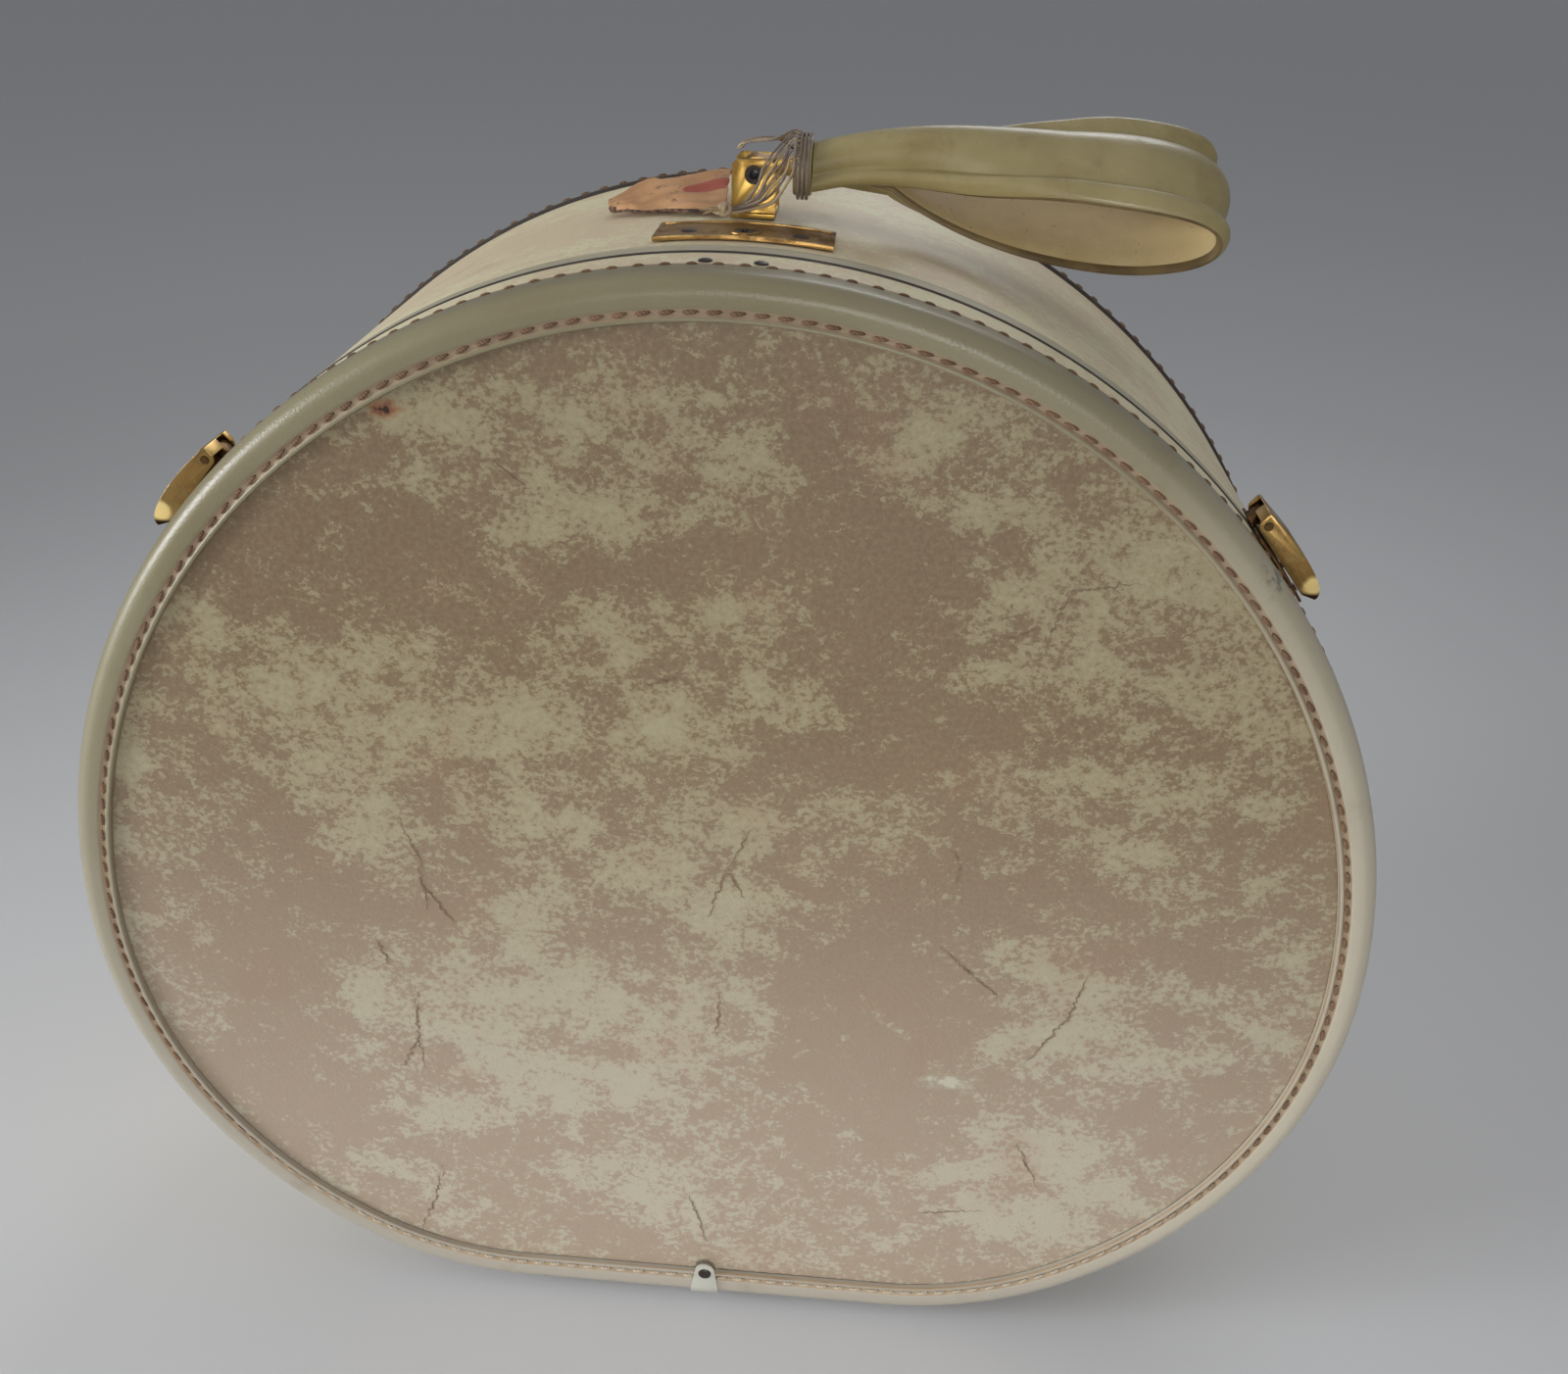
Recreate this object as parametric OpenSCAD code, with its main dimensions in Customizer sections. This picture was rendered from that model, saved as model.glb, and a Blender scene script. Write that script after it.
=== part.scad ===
// Oval hat suitcase with a flattened bottom, standing upright, lid to the front (-Y).
// Millimetres. X is the width, Y the depth, Z is up from the ground that the feet stand on.

/* [Case] */
// Width over the side walls
case_w = 457; // [430:1:490]
// Height of the oval, without feet and handle
case_h = 414; // [395:1:435]
// Depth of the lid, front face to seam
lid_depth = 31; // [28:1:40]
// Depth of the body, seam to back face
body_depth = 159; // [140:1:200]
// Radius of the top of the oval
crown_r = 213; // [205:1:220]
// Half angle of the top arc
crown_angle = 31; // [27:1:35]
// Angle from the top where the lower corner arc starts
corner_angle = 148; // [145:1:152]
// Half length of the flat bottom
flat_half = 72; // [70:1:80]

/* [Walls] */
// Thickness of the bent board hoops
hoop_t = 5; // [3.5:0.5:7]
// Thickness of the front and back boards
panel_t = 3.5; // [2.5:0.5:5]
// Depth that the boards lie below the binding's face
panel_sink = 2.4; // [1.5:0.1:3]
// Thickness of the vinyl cover on the hoops
cover_t = 0.9; // [0.6:0.1:1.1]
// Gap between lid and body at the seam
seam_gap = 0.8; // [0.6:0.1:1.2]
// Gap left by glue and cloth between seated pieces
seat = 0.15; // [0.12:0.01:0.2]

/* [Bindings] */
// Thickness of the stitched binding
binding_t = 1.2; // [1:0.1:1.5]
// Width of the binding on the face
binding_face = 13.4; // [11:0.2:16]
// Radius of the binding's outer edge
binding_round = 6; // [5:0.5:7]
// Width of the lid binding round the edge
lid_wrap = 16.5; // [14:0.5:17]
// Width of the back binding round the edge
back_wrap = 18.5; // [15:0.5:22]
// Width of the cream strip at the mouth of the body
trim_w = 10; // [8:0.5:12]
// Width of the tab over the binding's joint, at its rounded end
clip_w = 8; // [7:0.5:10]
// Height of that tab on the face
clip_h = 19; // [16:0.5:22]

/* [Inside] */
// Thickness of the inner lip that the lid closes over
valance_t = 1.2; // [0.8:0.1:1.6]
// Reach of the inner lip into the lid
valance_reach = 8; // [5:0.5:10]
// Width of the inner lip behind the seam
valance_back = 22; // [15:1:30]
// Clearance of the inner lip inside the lid
valance_clear = 0.6; // [0.5:0.1:0.9]
// Thickness of the wall lining
lining_t = 1.2; // [0.8:0.1:2]
// Thickness of the padded back lining
back_pad_t = 8; // [4:0.5:12]
// Thickness of the padded lid lining
lid_pad_t = 4; // [3:0.5:5]

/* [Lock] */
// Length of the lock plate along the crown
plate_len = 56; // [50:1:66]
// Depth of the lock plate
plate_d = 23; // [21:0.5:28]
// Distance from the seam to the lock plate
plate_back = 16.5; // [15:0.5:18]
// Thickness of the lock plate
plate_t = 1.6; // [1:0.1:2.2]
// Height of the plate's rolled rim above its face
rim_h = 0.7; // [0.5:0.1:1.2]
// Width of the rolled rim
rim_w = 1.4; // [1.2:0.1:2.2]
// Radius of the key plug
plug_r = 3.4; // [3:0.1:3.8]
// Half spacing of the plate rivets
plate_rivet_x = 17.5; // [16.5:0.5:19]
// Distance from the seam to the key plug
plug_back = 25.5; // [24.5:0.5:27]
// Crank radius of the key plug
crank_r = 4; // [3.5:0.1:4.3]
// Running clearance of the lock's moving parts
lock_clear = 0.1; // [0.05:0.01:0.1]

/* [Handle] */
// Height of the handle pin above the crown
pin_h = 13.6; // [13:0.1:15]
// Radius of the handle pin
pin_r = 2.2; // [1.8:0.1:2.5]
// Width of the post's ears
ear_w = 14.6; // [13:0.2:17]
// Thickness of the ears
ear_t = 1.8; // [1.4:0.1:2.2]
// Distance between the outer faces of the ears
post_d = 18; // [17:0.5:20]
// Gap between the lock plate and the post
post_gap = 13.5; // [8:0.5:16]
// Radius of the ferrule on the handle's neck
ferrule_r = 9.2; // [8.8:0.1:9.6]
// Where the ferrule starts, from the pin
ferrule_x = 12.5; // [12:0.1:13.5]
// Length of the ferrule
ferrule_len = 6; // [6:0.5:8]
// Reach of the strap loop from the pin
strap_reach = 155; // [145:1:165]
// Width of the strap where it wraps the neck
strap_neck_w = 24; // [22:0.5:26]
// Width of the strap's tucked end
strap_end_w = 9; // [7:0.5:9]
// How far the strap's edges curl down at the neck, in degrees
strap_curl = 100; // [90:1:105]
// Width of the strap at its tip
strap_tip_w = 52; // [44:1:56]
// Thickness of the strap's padded middle
strap_t = 7.2; // [6.5:0.1:7.4]
// Twist of the loop about its length, in degrees
strap_twist_angle = 24; // [16:1:26]

/* [Latches] */
// Angle of the latches on the shoulders, from the top
latch_angle = 51; // [46:1:58]
// Width of the lever
lever_w = 18; // [17:0.5:21]
// Length of the lever
lever_len = 33.5; // [32:0.5:36]
// Height of the lever above the wall
lever_h = 8.7; // [8.7:0.1:9.6]
// Wall of the lever
lever_t = 1.2; // [1:0.1:1.2]
// Radius of the lever's pin
latch_pin_r = 1.3; // [1.1:0.1:1.4]
// Height of the lever's pin above the wall
latch_pin_h = 4.4; // [4.2:0.1:4.4]

/* [Hinges] */
// Middle of each hinge from the centre
hinge_x = 48; // [44:1:50]
// Length of a hinge
hinge_len = 36; // [30:1:40]
// Reach of a hinge leaf from the seam
leaf_reach = 14; // [11:0.5:16]
// Thickness of a hinge leaf
leaf_t = 1.2; // [1:0.1:1.4]
// Radius of the hinge knuckles
knuckle_r = 2.2; // [2:0.05:2.25]
// Radius of the hinge pin
hinge_pin_r = 1.2; // [1:0.05:1.3]

/* [Feet] */
// Height of the feet
foot_h = 5; // [5:0.5:8]
// Radius of a foot
foot_r = 8; // [6:0.5:10]
// Distance of the feet from the centre, left and right
foot_x = 54; // [45:1:58]
// Gap between the feet and the trim and binding
foot_gap = 6; // [3:0.5:12]

/* [Tag] */
// Thickness of the paper tag
tag_t = 1; // [0.8:0.1:1.2]
// Height that the tag's near corner curls up
tag_lift = 8; // [4:0.5:9]
// Diameter of the string
string_d = 1.2; // [1:0.1:1.2]
// Turns of string round the ferrule
string_turns = 3; // [2:1:3]
// Step of the turns along the ferrule
string_pitch = 1.4; // [1.4:0.05:1.5]

/* [Hidden] */
$fn = 48;
// Planes across the depth
y_front = -(lid_depth + body_depth) / 2;
y_seam = y_front + lid_depth;
y_back = y_front + lid_depth + body_depth;
y_lid_end = y_seam - seam_gap / 2;
y_mouth = y_seam + seam_gap / 2;
z_top = foot_h + case_h;

// Arcs of the oval, each tangent to the next: crown, shoulder, side, corner
half_w = case_w / 2;
shoulder_r = (half_w - crown_r * sin(crown_angle)) / (1 - sin(crown_angle));
crown_drop = crown_r * (1 - cos(crown_angle)) + shoulder_r * cos(crown_angle);
corner_run = half_w - flat_half;
corner_fall = case_h - crown_drop;
arc_det = 1 + cos(corner_angle) - sin(corner_angle);
side_r = (corner_run * (1 + cos(corner_angle)) - sin(corner_angle) * corner_fall) / arc_det;
corner_r = ((1 - sin(corner_angle)) * corner_fall + cos(corner_angle) * corner_run) / arc_det;
function spoke(a) = [sin(a), cos(a)];
crown_c = [0, case_h - crown_r];
shoulder_c = crown_c + (crown_r - shoulder_r) * spoke(crown_angle);
side_c = [half_w - side_r, shoulder_c[1]];
corner_c = side_c + (side_r - corner_r) * spoke(corner_angle);

// Points of an arc from angle a to angle b, measured from the top, without the last one
function arc_points(c, r, a, b, n) = [for (i = [0:n - 1]) c + r * spoke(a + (b - a) * i / n)];
function right_half(off) = concat(
    arc_points(crown_c, crown_r + off, 0, crown_angle, 8),
    arc_points(shoulder_c, shoulder_r + off, crown_angle, 90, 16),
    arc_points(side_c, side_r + off, 90, corner_angle, 14),
    arc_points(corner_c, corner_r + off, corner_angle, 180, 8),
    [[flat_half, -off]]);
// The oval, moved outward by off
function oval(off) = let (h = right_half(off))
    concat(h, [for (i = [len(h) - 1:-1:1]) [-h[i][0], h[i][1]]]);
function bezier(a, b, c, n) = [for (i = [0:n]) let (t = i / n)
    (1 - t) * (1 - t) * a + 2 * t * (1 - t) * b + t * t * c];

// Stack of offsets through the wall, from the outside in
hoop_out = -binding_t - 0.1;
hoop_in = hoop_out - hoop_t;
cover_in = hoop_out + seat / 2;
cover_out = cover_in + cover_t;
valance_out = hoop_in - valance_clear;
valance_in = valance_out - valance_t;
lining_in = hoop_in - seat - lining_t;
panel_edge = -binding_t - 1.2;
face_stack = panel_sink + panel_t;

// Lock levels, down from the top
arm_t = 1.5;
arm_w = 12;
arm_z = z_top + hoop_in - 0.6 - arm_t;
case_wall = 1.2;
lock_top = arm_z - 0.3;
lock_h = 11;
lock_d = 36;
lock_w = 48;
lock_y = y_seam + 6;
plug_y = y_seam + plug_back;
bolt_t = 3;
bolt_z = lock_top - case_wall - 5.7;
crank_start = 45;
crank_pin_r = 1.2;
lug_y = lock_y + 2;
lug_len = 9;
window = bolt_t + 0.8;
lock_room = [lock_w + 6, 40, 40];

// Handle and post, behind the lock plate
plate_y = y_seam + plate_back;
post_y = plate_y + plate_d + post_gap + post_d / 2;
pin_z = z_top + pin_h;
tongue_w = 12;
eye_r = 5;
neck_z = 2;
string_r = string_d / 2;
winding_r = ferrule_r + 0.3 + string_r;

// Latch lever in its own frame: x down along the wall, z outward
lever_y = y_seam - lever_w / 2 + 1;
lever_pin_x = -13.5;
lever_low = 1.6;
lug_half = 1.9;
lug_w = 5;
latch_lug_y = y_seam + 2;

// Hinge axis just below the flat bottom
hinge_z = foot_h - knuckle_r - 0.3;

// Length of a cut that goes right through, and the clearance of a rivet in its hole
through = 50;
rivet_clear = 0.1;

brass = "goldenrod";
cream = "lemonchiffon";
vinyl = "tan";

// Shapes that repeat

// A slab of a flat outline in X and Z, from y0 back to y1
module across(y0, y1) {
    translate([0, y1, foot_h]) rotate([90, 0, 0]) linear_extrude(y1 - y0) children();
}

// A closed hoop between two offsets of the oval
module hoop(outer, inner, y0, y1) {
    across(y0, y1) difference() {
        polygon(oval(outer));
        polygon(oval(inner));
    }
}

// A profile of [offset, y] points carried round the oval
module swept_hoop(profile) {
    rings = [for (p = profile) oval(p[0])];
    n = len(rings[0]);
    m = len(profile);
    points = [for (j = [0:m - 1]) for (i = [0:n - 1])
        [rings[j][i][0], profile[j][1], rings[j][i][1] + foot_h]];
    faces = [for (j = [0:m - 1]) for (i = [0:n - 1]) for (side = [0, 1])
        let (k = (j + 1) % m, l = (i + 1) % n)
        side == 0 ? [j * n + i, k * n + i, k * n + l] : [j * n + i, k * n + l, j * n + l]];
    polyhedron(points, faces);
}

// A curved patch on an arc of the oval, between two angles
module patch(c, r, inner, outer, a, b, y0, y1) {
    across(y0, y1) polygon(concat(
        arc_points(c, r + outer, a, b, 8), [c + (r + outer) * spoke(b)],
        arc_points(c, r + inner, b, a, 8), [c + (r + inner) * spoke(a)]));
}

// Frames that stand on the wall: z points outward, x runs down to the right
module on_crown(a) {
    translate([crown_c[0], 0, crown_c[1] + foot_h]) rotate([0, a, 0]) translate([0, 0, crown_r]) children();
}
module on_shoulder() {
    translate([shoulder_c[0], 0, shoulder_c[1] + foot_h]) rotate([0, latch_angle, 0])
        translate([0, 0, shoulder_r]) children();
}

// A rivet standing on z = 0 with its shank below
module rivet(head_r, head_h, shank_r, shank_len) {
    rotate_extrude() polygon(concat([[0, -shank_len], [shank_r, -shank_len], [shank_r, 0]],
        [for (i = [0:6]) [head_r * cos(i * 15), head_h * sin(i * 15)]]));
}

// A tube along a list of points, with its rings turned about ref
module tube(points, r, sides, ref) {
    last = len(points) - 1;
    rings = [for (i = [0:last])
        let (d = points[min(i + 1, last)] - points[max(i - 1, 0)],
            u = cross(d, ref) / norm(cross(d, ref)),
            v = cross(u, d) / norm(d))
        [for (s = [0:sides - 1]) points[i] + r * (cos(360 * s / sides) * u + sin(360 * s / sides) * v)]];
    walls = [for (i = [0:last - 1]) for (s = [0:sides - 1]) for (half = [0, 1])
        let (a = i * sides + s, b = i * sides + (s + 1) % sides)
        half == 0 ? [a, a + sides, b + sides] : [a, b + sides, b]];
    caps = [for (s = [1:sides - 2]) for (end = [0, 1])
        end == 0 ? [0, s, s + 1] : [last * sides, last * sides + s + 1, last * sides + s]];
    polyhedron([for (ring = rings) for (p = ring) p], concat(walls, caps));
}

// A space for the lock, cut out of the linings under the crown
module lock_cut() {
    translate([-lock_room[0] / 2, y_front, z_top - lock_room[2]])
        cube([lock_room[0], lid_depth + plug_back + lock_room[1], lock_room[2]]);
}

// Body

module plug_bore(extra) {
    translate([0, plug_y, lock_top - lock_h]) cylinder(r = plug_r + lock_clear + extra, h = through);
}
plate_rivet_a = asin(plate_rivet_x / crown_r);
plate_rivet_r = 1.5;
module plate_rivet_bores() {
    for (side = [-1, 1]) on_crown(side * plate_rivet_a) translate([0, plug_y, -through / 2])
        cylinder(r = plate_rivet_r + rivet_clear, h = through);
}
module body_hoop() {
    color("burlywood") difference() {
        hoop(hoop_out, hoop_in, y_mouth, y_back - face_stack - seat);
        plug_bore(0.3);
        plate_rivet_bores();
        post_rivet_bores();
        latch_bores();
        hinge_body_bores();
        foot_bores();
    }
}
module body_cover() {
    color(vinyl) difference() {
        hoop(cover_out, cover_in, y_mouth + trim_w + seat, y_back - back_wrap - seat);
        plug_bore(0.3);
        plate_rivet_bores();
        post_rivet_bores();
        latch_bores();
        hinge_body_bores();
        foot_bores();
    }
}
module mouth_trim() {
    color(cream) difference() {
        hoop(0, cover_in, y_mouth, y_mouth + trim_w);
        latch_bores();
        hinge_body_bores();
    }
}
module valance() {
    color("silver") difference() {
        hoop(valance_out, valance_in, y_seam - valance_reach, y_mouth + valance_back);
        lock_cut();
    }
}
module back_panel() {
    color(vinyl) across(y_back - face_stack, y_back - panel_sink - seat) polygon(oval(panel_edge - seat));
}

// Section of a binding, from its inner edge over the round to the end of its wrap, d in from the face
bead = 0.8;
function binding_section(wrap) = concat(
    [[-binding_face, panel_sink], [-binding_face, bead], [-binding_face + bead, 0]],
    [for (i = [0:4]) [-binding_round + binding_round * sin(i * 22.5),
        binding_round - binding_round * cos(i * 22.5)]],
    [[0, wrap], [cover_in, wrap], [cover_in, face_stack],
        [panel_edge, face_stack], [panel_edge, panel_sink]]);
module back_binding() {
    section = binding_section(back_wrap);
    color(cream) difference() {
        swept_hoop([for (i = [len(section) - 1:-1:0]) [section[i][0], y_back - section[i][1]]]);
        at_back() clip_rivet_bore();
    }
}

// Tab folded over the binding where its ends meet, on the face and under the bottom
clip_t = 0.8;
clip_flare = 1.5;
clip_under = 9;
clip_rivet_drop = 5;
clip_rivet_r = 1.2;
clip_head_r = 2.6;
module clip() {
    top = clip_h - clip_w / 2;
    // On the face, with a round end
    translate([0, 0, foot_h]) rotate([90, 0, 0]) linear_extrude(clip_t) polygon(concat(
        [for (i = [0:12]) [clip_w / 2 * cos(i * 15), top + clip_w / 2 * sin(i * 15)]],
        [[-clip_w / 2 - clip_flare, binding_round], [clip_w / 2 + clip_flare, binding_round]]));
    // Round the edge and under the bottom, following the binding
    half = clip_w / 2 + clip_flare;
    r0 = binding_round + seat / 2;
    translate([-half, 0, foot_h]) rotate([90, 0, 90]) linear_extrude(2 * half) polygon(concat(
        [for (i = [0:4]) [binding_round - r0 * sin(90 - i * 22.5) - seat / 2,
            binding_round - r0 * cos(90 - i * 22.5)]],
        [[clip_under, -seat / 2], [clip_under, -seat / 2 - clip_t]],
        [for (i = [4:-1:0]) [binding_round - (r0 + clip_t) * sin(90 - i * 22.5) + (i == 0 ? -seat / 2 : 0),
            binding_round - (r0 + clip_t) * cos(90 - i * 22.5)]]));
}
module clip_rivet() {
    translate([0, -clip_t, foot_h + clip_h - clip_rivet_drop]) rotate([90, 0, 0])
        rivet(clip_head_r, 0.8, clip_rivet_r, clip_t + panel_sink);
}
module clip_rivet_bore() {
    translate([0, 1, foot_h + clip_h - clip_rivet_drop]) rotate([90, 0, 0])
        cylinder(r = clip_rivet_r + rivet_clear, h = through / 2, center = true);
}
module at_front() {
    translate([0, y_front - seat, 0]) children();
}
module at_back() {
    translate([0, y_back + seat, 0]) mirror([0, 1, 0]) children();
}
module back_clip() {
    color(cream) at_back() difference() {
        clip();
        clip_rivet_bore();
    }
}
module back_clip_rivet() {
    color("dimgray") at_back() clip_rivet();
}
module body_lining() {
    color("rosybrown") difference() {
        hoop(hoop_in - seat, lining_in, y_mouth + valance_back + 0.3, y_back - face_stack - 2 * seat);
        lock_cut();
        post_rivet_bores();
    }
}
module back_lining() {
    y1 = y_back - face_stack - seat;
    color("rosybrown") across(y1 - back_pad_t, y1) polygon(oval(lining_in - 0.5));
}

// Four domed studs with their shanks through the bottom
foot_dome = 3;
module each_foot() {
    for (x = [-foot_x, foot_x])
        for (y = [y_mouth + trim_w + foot_gap + foot_r, y_back - back_wrap - foot_gap - foot_r])
            translate([x, y, 0]) children();
}
foot_top = foot_h - cover_out - seat;
module feet() {
    color(brass) each_foot() rotate_extrude() polygon(concat(
        [[0, 0], [foot_r * 0.45, 0]],
        [for (i = [1:5]) [foot_r * (0.45 + 0.55 * sin(i * 18)), foot_dome * (1 - cos(i * 18))]],
        [[foot_r, foot_top], [2, foot_top], [2, foot_h - hoop_in], [0, foot_h - hoop_in]]));
}
module foot_bores() {
    each_foot() cylinder(r = 2.1, h = foot_h - hoop_in + 2);
}

// Lock

plate_a = plate_len / 2 / crown_r * 180 / PI;
rim_a = rim_w / crown_r * 180 / PI;
bezel_r = 2;
rim_top = seat + plate_t + rim_h;
plug_top = z_top + seat + plate_t + rim_h * 0.7;
module lock_plate() {
    color(brass) difference() {
        union() {
            patch(crown_c, crown_r, seat, seat + plate_t, -plate_a, plate_a, plate_y, plate_y + plate_d);
            for (y = [plate_y, plate_y + plate_d - rim_w])
                patch(crown_c, crown_r, seat, rim_top, -plate_a, plate_a, y, y + rim_w);
            for (a = [-plate_a, plate_a - rim_a])
                patch(crown_c, crown_r, seat, rim_top, a, a + rim_a, plate_y, plate_y + plate_d);
            translate([0, plug_y, z_top + seat]) cylinder(r = plug_r + bezel_r, h = plug_top - z_top - seat);
        }
        plug_bore(0);
        plate_rivet_bores();
    }
}
module lock_rivets() {
    shank = seat + plate_t + z_top - lock_top + case_wall + 0.6;
    color("darkgoldenrod") for (side = [-1, 1]) on_crown(side * plate_rivet_a)
        translate([0, plug_y, seat + plate_t]) {
            rivet(2.6, 0.9, plate_rivet_r, shank);
            translate([0, 0, -shank - 0.6]) cylinder(r = 2.4, h = 0.6 + seat);
        }
}
module lock_case() {
    inner = [lock_w - 2 * case_wall, lock_d - 2 * case_wall, lock_h - 2 * case_wall];
    floor_z = lock_top - lock_h;
    color("darkgray") difference() {
        union() {
            difference() {
                translate([-lock_w / 2, lock_y, floor_z]) cube([lock_w, lock_d, lock_h]);
                translate([-inner[0] / 2, lock_y + case_wall, floor_z + case_wall]) cube(inner);
            }
            // Ribs that carry the bolt
            for (y = [lug_y + lug_len / 2 - bolt_t / 2, plug_y + crank_r - 2])
                translate([8, y, floor_z + case_wall - seat])
                    cube([8, bolt_t, bolt_z - lock_clear - floor_z - case_wall + seat]);
        }
        // Slot that the hasp's lug slides out of
        translate([-2, lock_y - 1, floor_z + case_wall]) cube([4, lug_len + 4, lock_h]);
        plug_bore(0.2);
        plate_rivet_bores();
    }
}
module key_plug() {
    cam_t = 1.6;
    keyway_h = 4;
    cam_z = lock_top - case_wall - 0.4 - cam_t;
    color("gold") translate([0, plug_y, 0]) difference() {
        union() {
            translate([0, 0, cam_z]) cylinder(r = plug_r, h = plug_top - cam_z);
            translate([0, 0, cam_z]) cylinder(r = crank_r + crank_pin_r + 0.4, h = cam_t);
            rotate([0, 0, crank_start]) translate([crank_r, 0, bolt_z + 0.4])
                cylinder(r = crank_pin_r, h = cam_z - bolt_z);
        }
        // Keyway
        translate([-0.7, -plug_r * 0.75, z_top - keyway_h]) cube([1.4, plug_r * 1.5, 2 * keyway_h]);
        translate([0, 0, z_top - keyway_h]) cylinder(r = 1.3, h = 2 * keyway_h);
    }
}
module lock_bolt() {
    bar_y = lug_y + lug_len / 2 - bolt_t / 2;
    slot_x = crank_r * cos(crank_start);
    slot_y = plug_y + crank_r * sin(crank_start);
    slot_r = crank_pin_r + 0.3;
    plate_y0 = slot_y - slot_r - 1.2;
    plate_y1 = plug_y + crank_r + slot_r + 1.2;
    color("silver") difference() {
        union() {
            translate([2.4, bar_y, bolt_z]) cube([14, bolt_t, bolt_t]);
            translate([8.4, bar_y, bolt_z]) cube([8, plate_y1 - bar_y, bolt_t]);
            translate([slot_x - slot_r - 1.2, plate_y0, bolt_z])
                cube([16.4 - slot_x + slot_r + 1.2, plate_y1 - plate_y0, bolt_t]);
        }
        translate([slot_x - slot_r, slot_y - slot_r, bolt_z - 1])
            cube([2 * slot_r, plug_y + crank_r + slot_r - slot_y + slot_r, bolt_t + 2]);
    }
}
hasp_rivet_a = 2.2;
hasp_rivet_r = 1.2;
hasp_rivet_y = y_front + lid_wrap + 3;
module hasp_rivet_bores() {
    for (side = [-1, 1]) on_crown(side * hasp_rivet_a) translate([0, hasp_rivet_y, -through / 2])
        cylinder(r = hasp_rivet_r + rivet_clear, h = through);
}
module hasp() {
    base_w = 26;
    base_y = hasp_rivet_y - 5;
    lug_t = 2;
    color(brass) difference() {
        union() {
            translate([-base_w / 2, base_y, arm_z]) cube([base_w, y_lid_end - 2 - base_y, arm_t]);
            translate([-arm_w / 2, base_y, arm_z]) cube([arm_w, lug_y + lug_len - base_y, arm_t]);
            translate([-lug_t / 2, lug_y, bolt_z - 1.2])
                cube([lug_t, lug_len, arm_z - bolt_z + 1.2 + arm_t]);
        }
        translate([-lug_t, lug_y + lug_len / 2 - window / 2, bolt_z - 0.4]) cube([2 * lug_t, window, window]);
        hasp_rivet_bores();
    }
}
module hasp_rivets() {
    color("dimgray") for (side = [-1, 1]) on_crown(side * hasp_rivet_a)
        translate([0, hasp_rivet_y, cover_out + seat])
            rivet(2.2, 0.7, hasp_rivet_r, cover_t + 2 * seat + hoop_t + 0.6 + arm_t + 0.1);
}

// Handle

post_base_t = 1.5;
post_rivet_x = 4.5;
post_rivet_r = 1.2;
module post_rivet_bores() {
    for (x = [-post_rivet_x, post_rivet_x]) translate([x, post_y, z_top - through / 2])
        cylinder(r = post_rivet_r + rivet_clear, h = through);
}
module handle_post() {
    ear_top = pin_h + 4.6;
    cut = ear_w * 0.12;
    color(brass) difference() {
        union() {
            translate([-ear_w / 2, post_y - post_d / 2 - 2, z_top + seat])
                cube([ear_w, post_d + 4, post_base_t]);
            for (y = [-post_d / 2, post_d / 2 - ear_t]) translate([0, post_y + y + ear_t, z_top])
                rotate([90, 0, 0]) linear_extrude(ear_t) polygon([[-ear_w / 2, seat], [ear_w / 2, seat],
                    [ear_w / 2, ear_top - cut], [ear_w / 2 - cut, ear_top],
                    [-ear_w / 2 + cut, ear_top], [-ear_w / 2, ear_top - cut]]);
        }
        at_pin() rotate([90, 0, 0]) cylinder(r = pin_r + 0.05, h = post_d + 10, center = true);
        post_rivet_bores();
    }
}
module handle_post_rivets() {
    color("darkgoldenrod") for (x = [-post_rivet_x, post_rivet_x])
        translate([x, post_y, z_top + seat + post_base_t])
            rivet(2, 0.8, post_rivet_r, seat + post_base_t - hoop_in + seat);
}
// Hollow rivet pin, flared outside both ears
module handle_pin() {
    flare = 0.7;
    color("darkgoldenrod") at_pin() rotate([90, 0, 0]) difference() {
        union() {
            cylinder(r = pin_r, h = post_d + 2 * flare, center = true);
            for (side = [-1, 1]) translate([0, 0, side * (post_d / 2 + flare / 2 + 0.05)])
                cylinder(r = pin_r + 0.8, h = flare, center = true);
        }
        cylinder(r = pin_r - 0.7, h = post_d + 10, center = true);
    }
}
module at_pin() {
    translate([0, post_y, pin_z]) children();
}
shank_t = 5;
module handle_tongue() {
    color(brass) at_pin() difference() {
        union() {
            rotate([90, 0, 0]) cylinder(r = eye_r, h = tongue_w, center = true);
            translate([0, -tongue_w / 2 + 1, neck_z - shank_t / 2])
                cube([ferrule_x + ferrule_len - 3, tongue_w - 2, shank_t]);
        }
        rotate([90, 0, 0]) cylinder(r = pin_r + 0.08, h = tongue_w + 2, center = true);
    }
}
module handle_ferrule() {
    color(cream) at_pin() difference() {
        translate([ferrule_x, 0, neck_z]) rotate([0, 90, 0]) cylinder(r = ferrule_r, h = ferrule_len);
        translate([ferrule_x - 1, -tongue_w / 2 + 1 - seat, neck_z - shank_t / 2 - seat])
            cube([ferrule_len - 2 + seat, tongue_w - 2 + 2 * seat, shank_t + 2 * seat]);
    }
}

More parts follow.
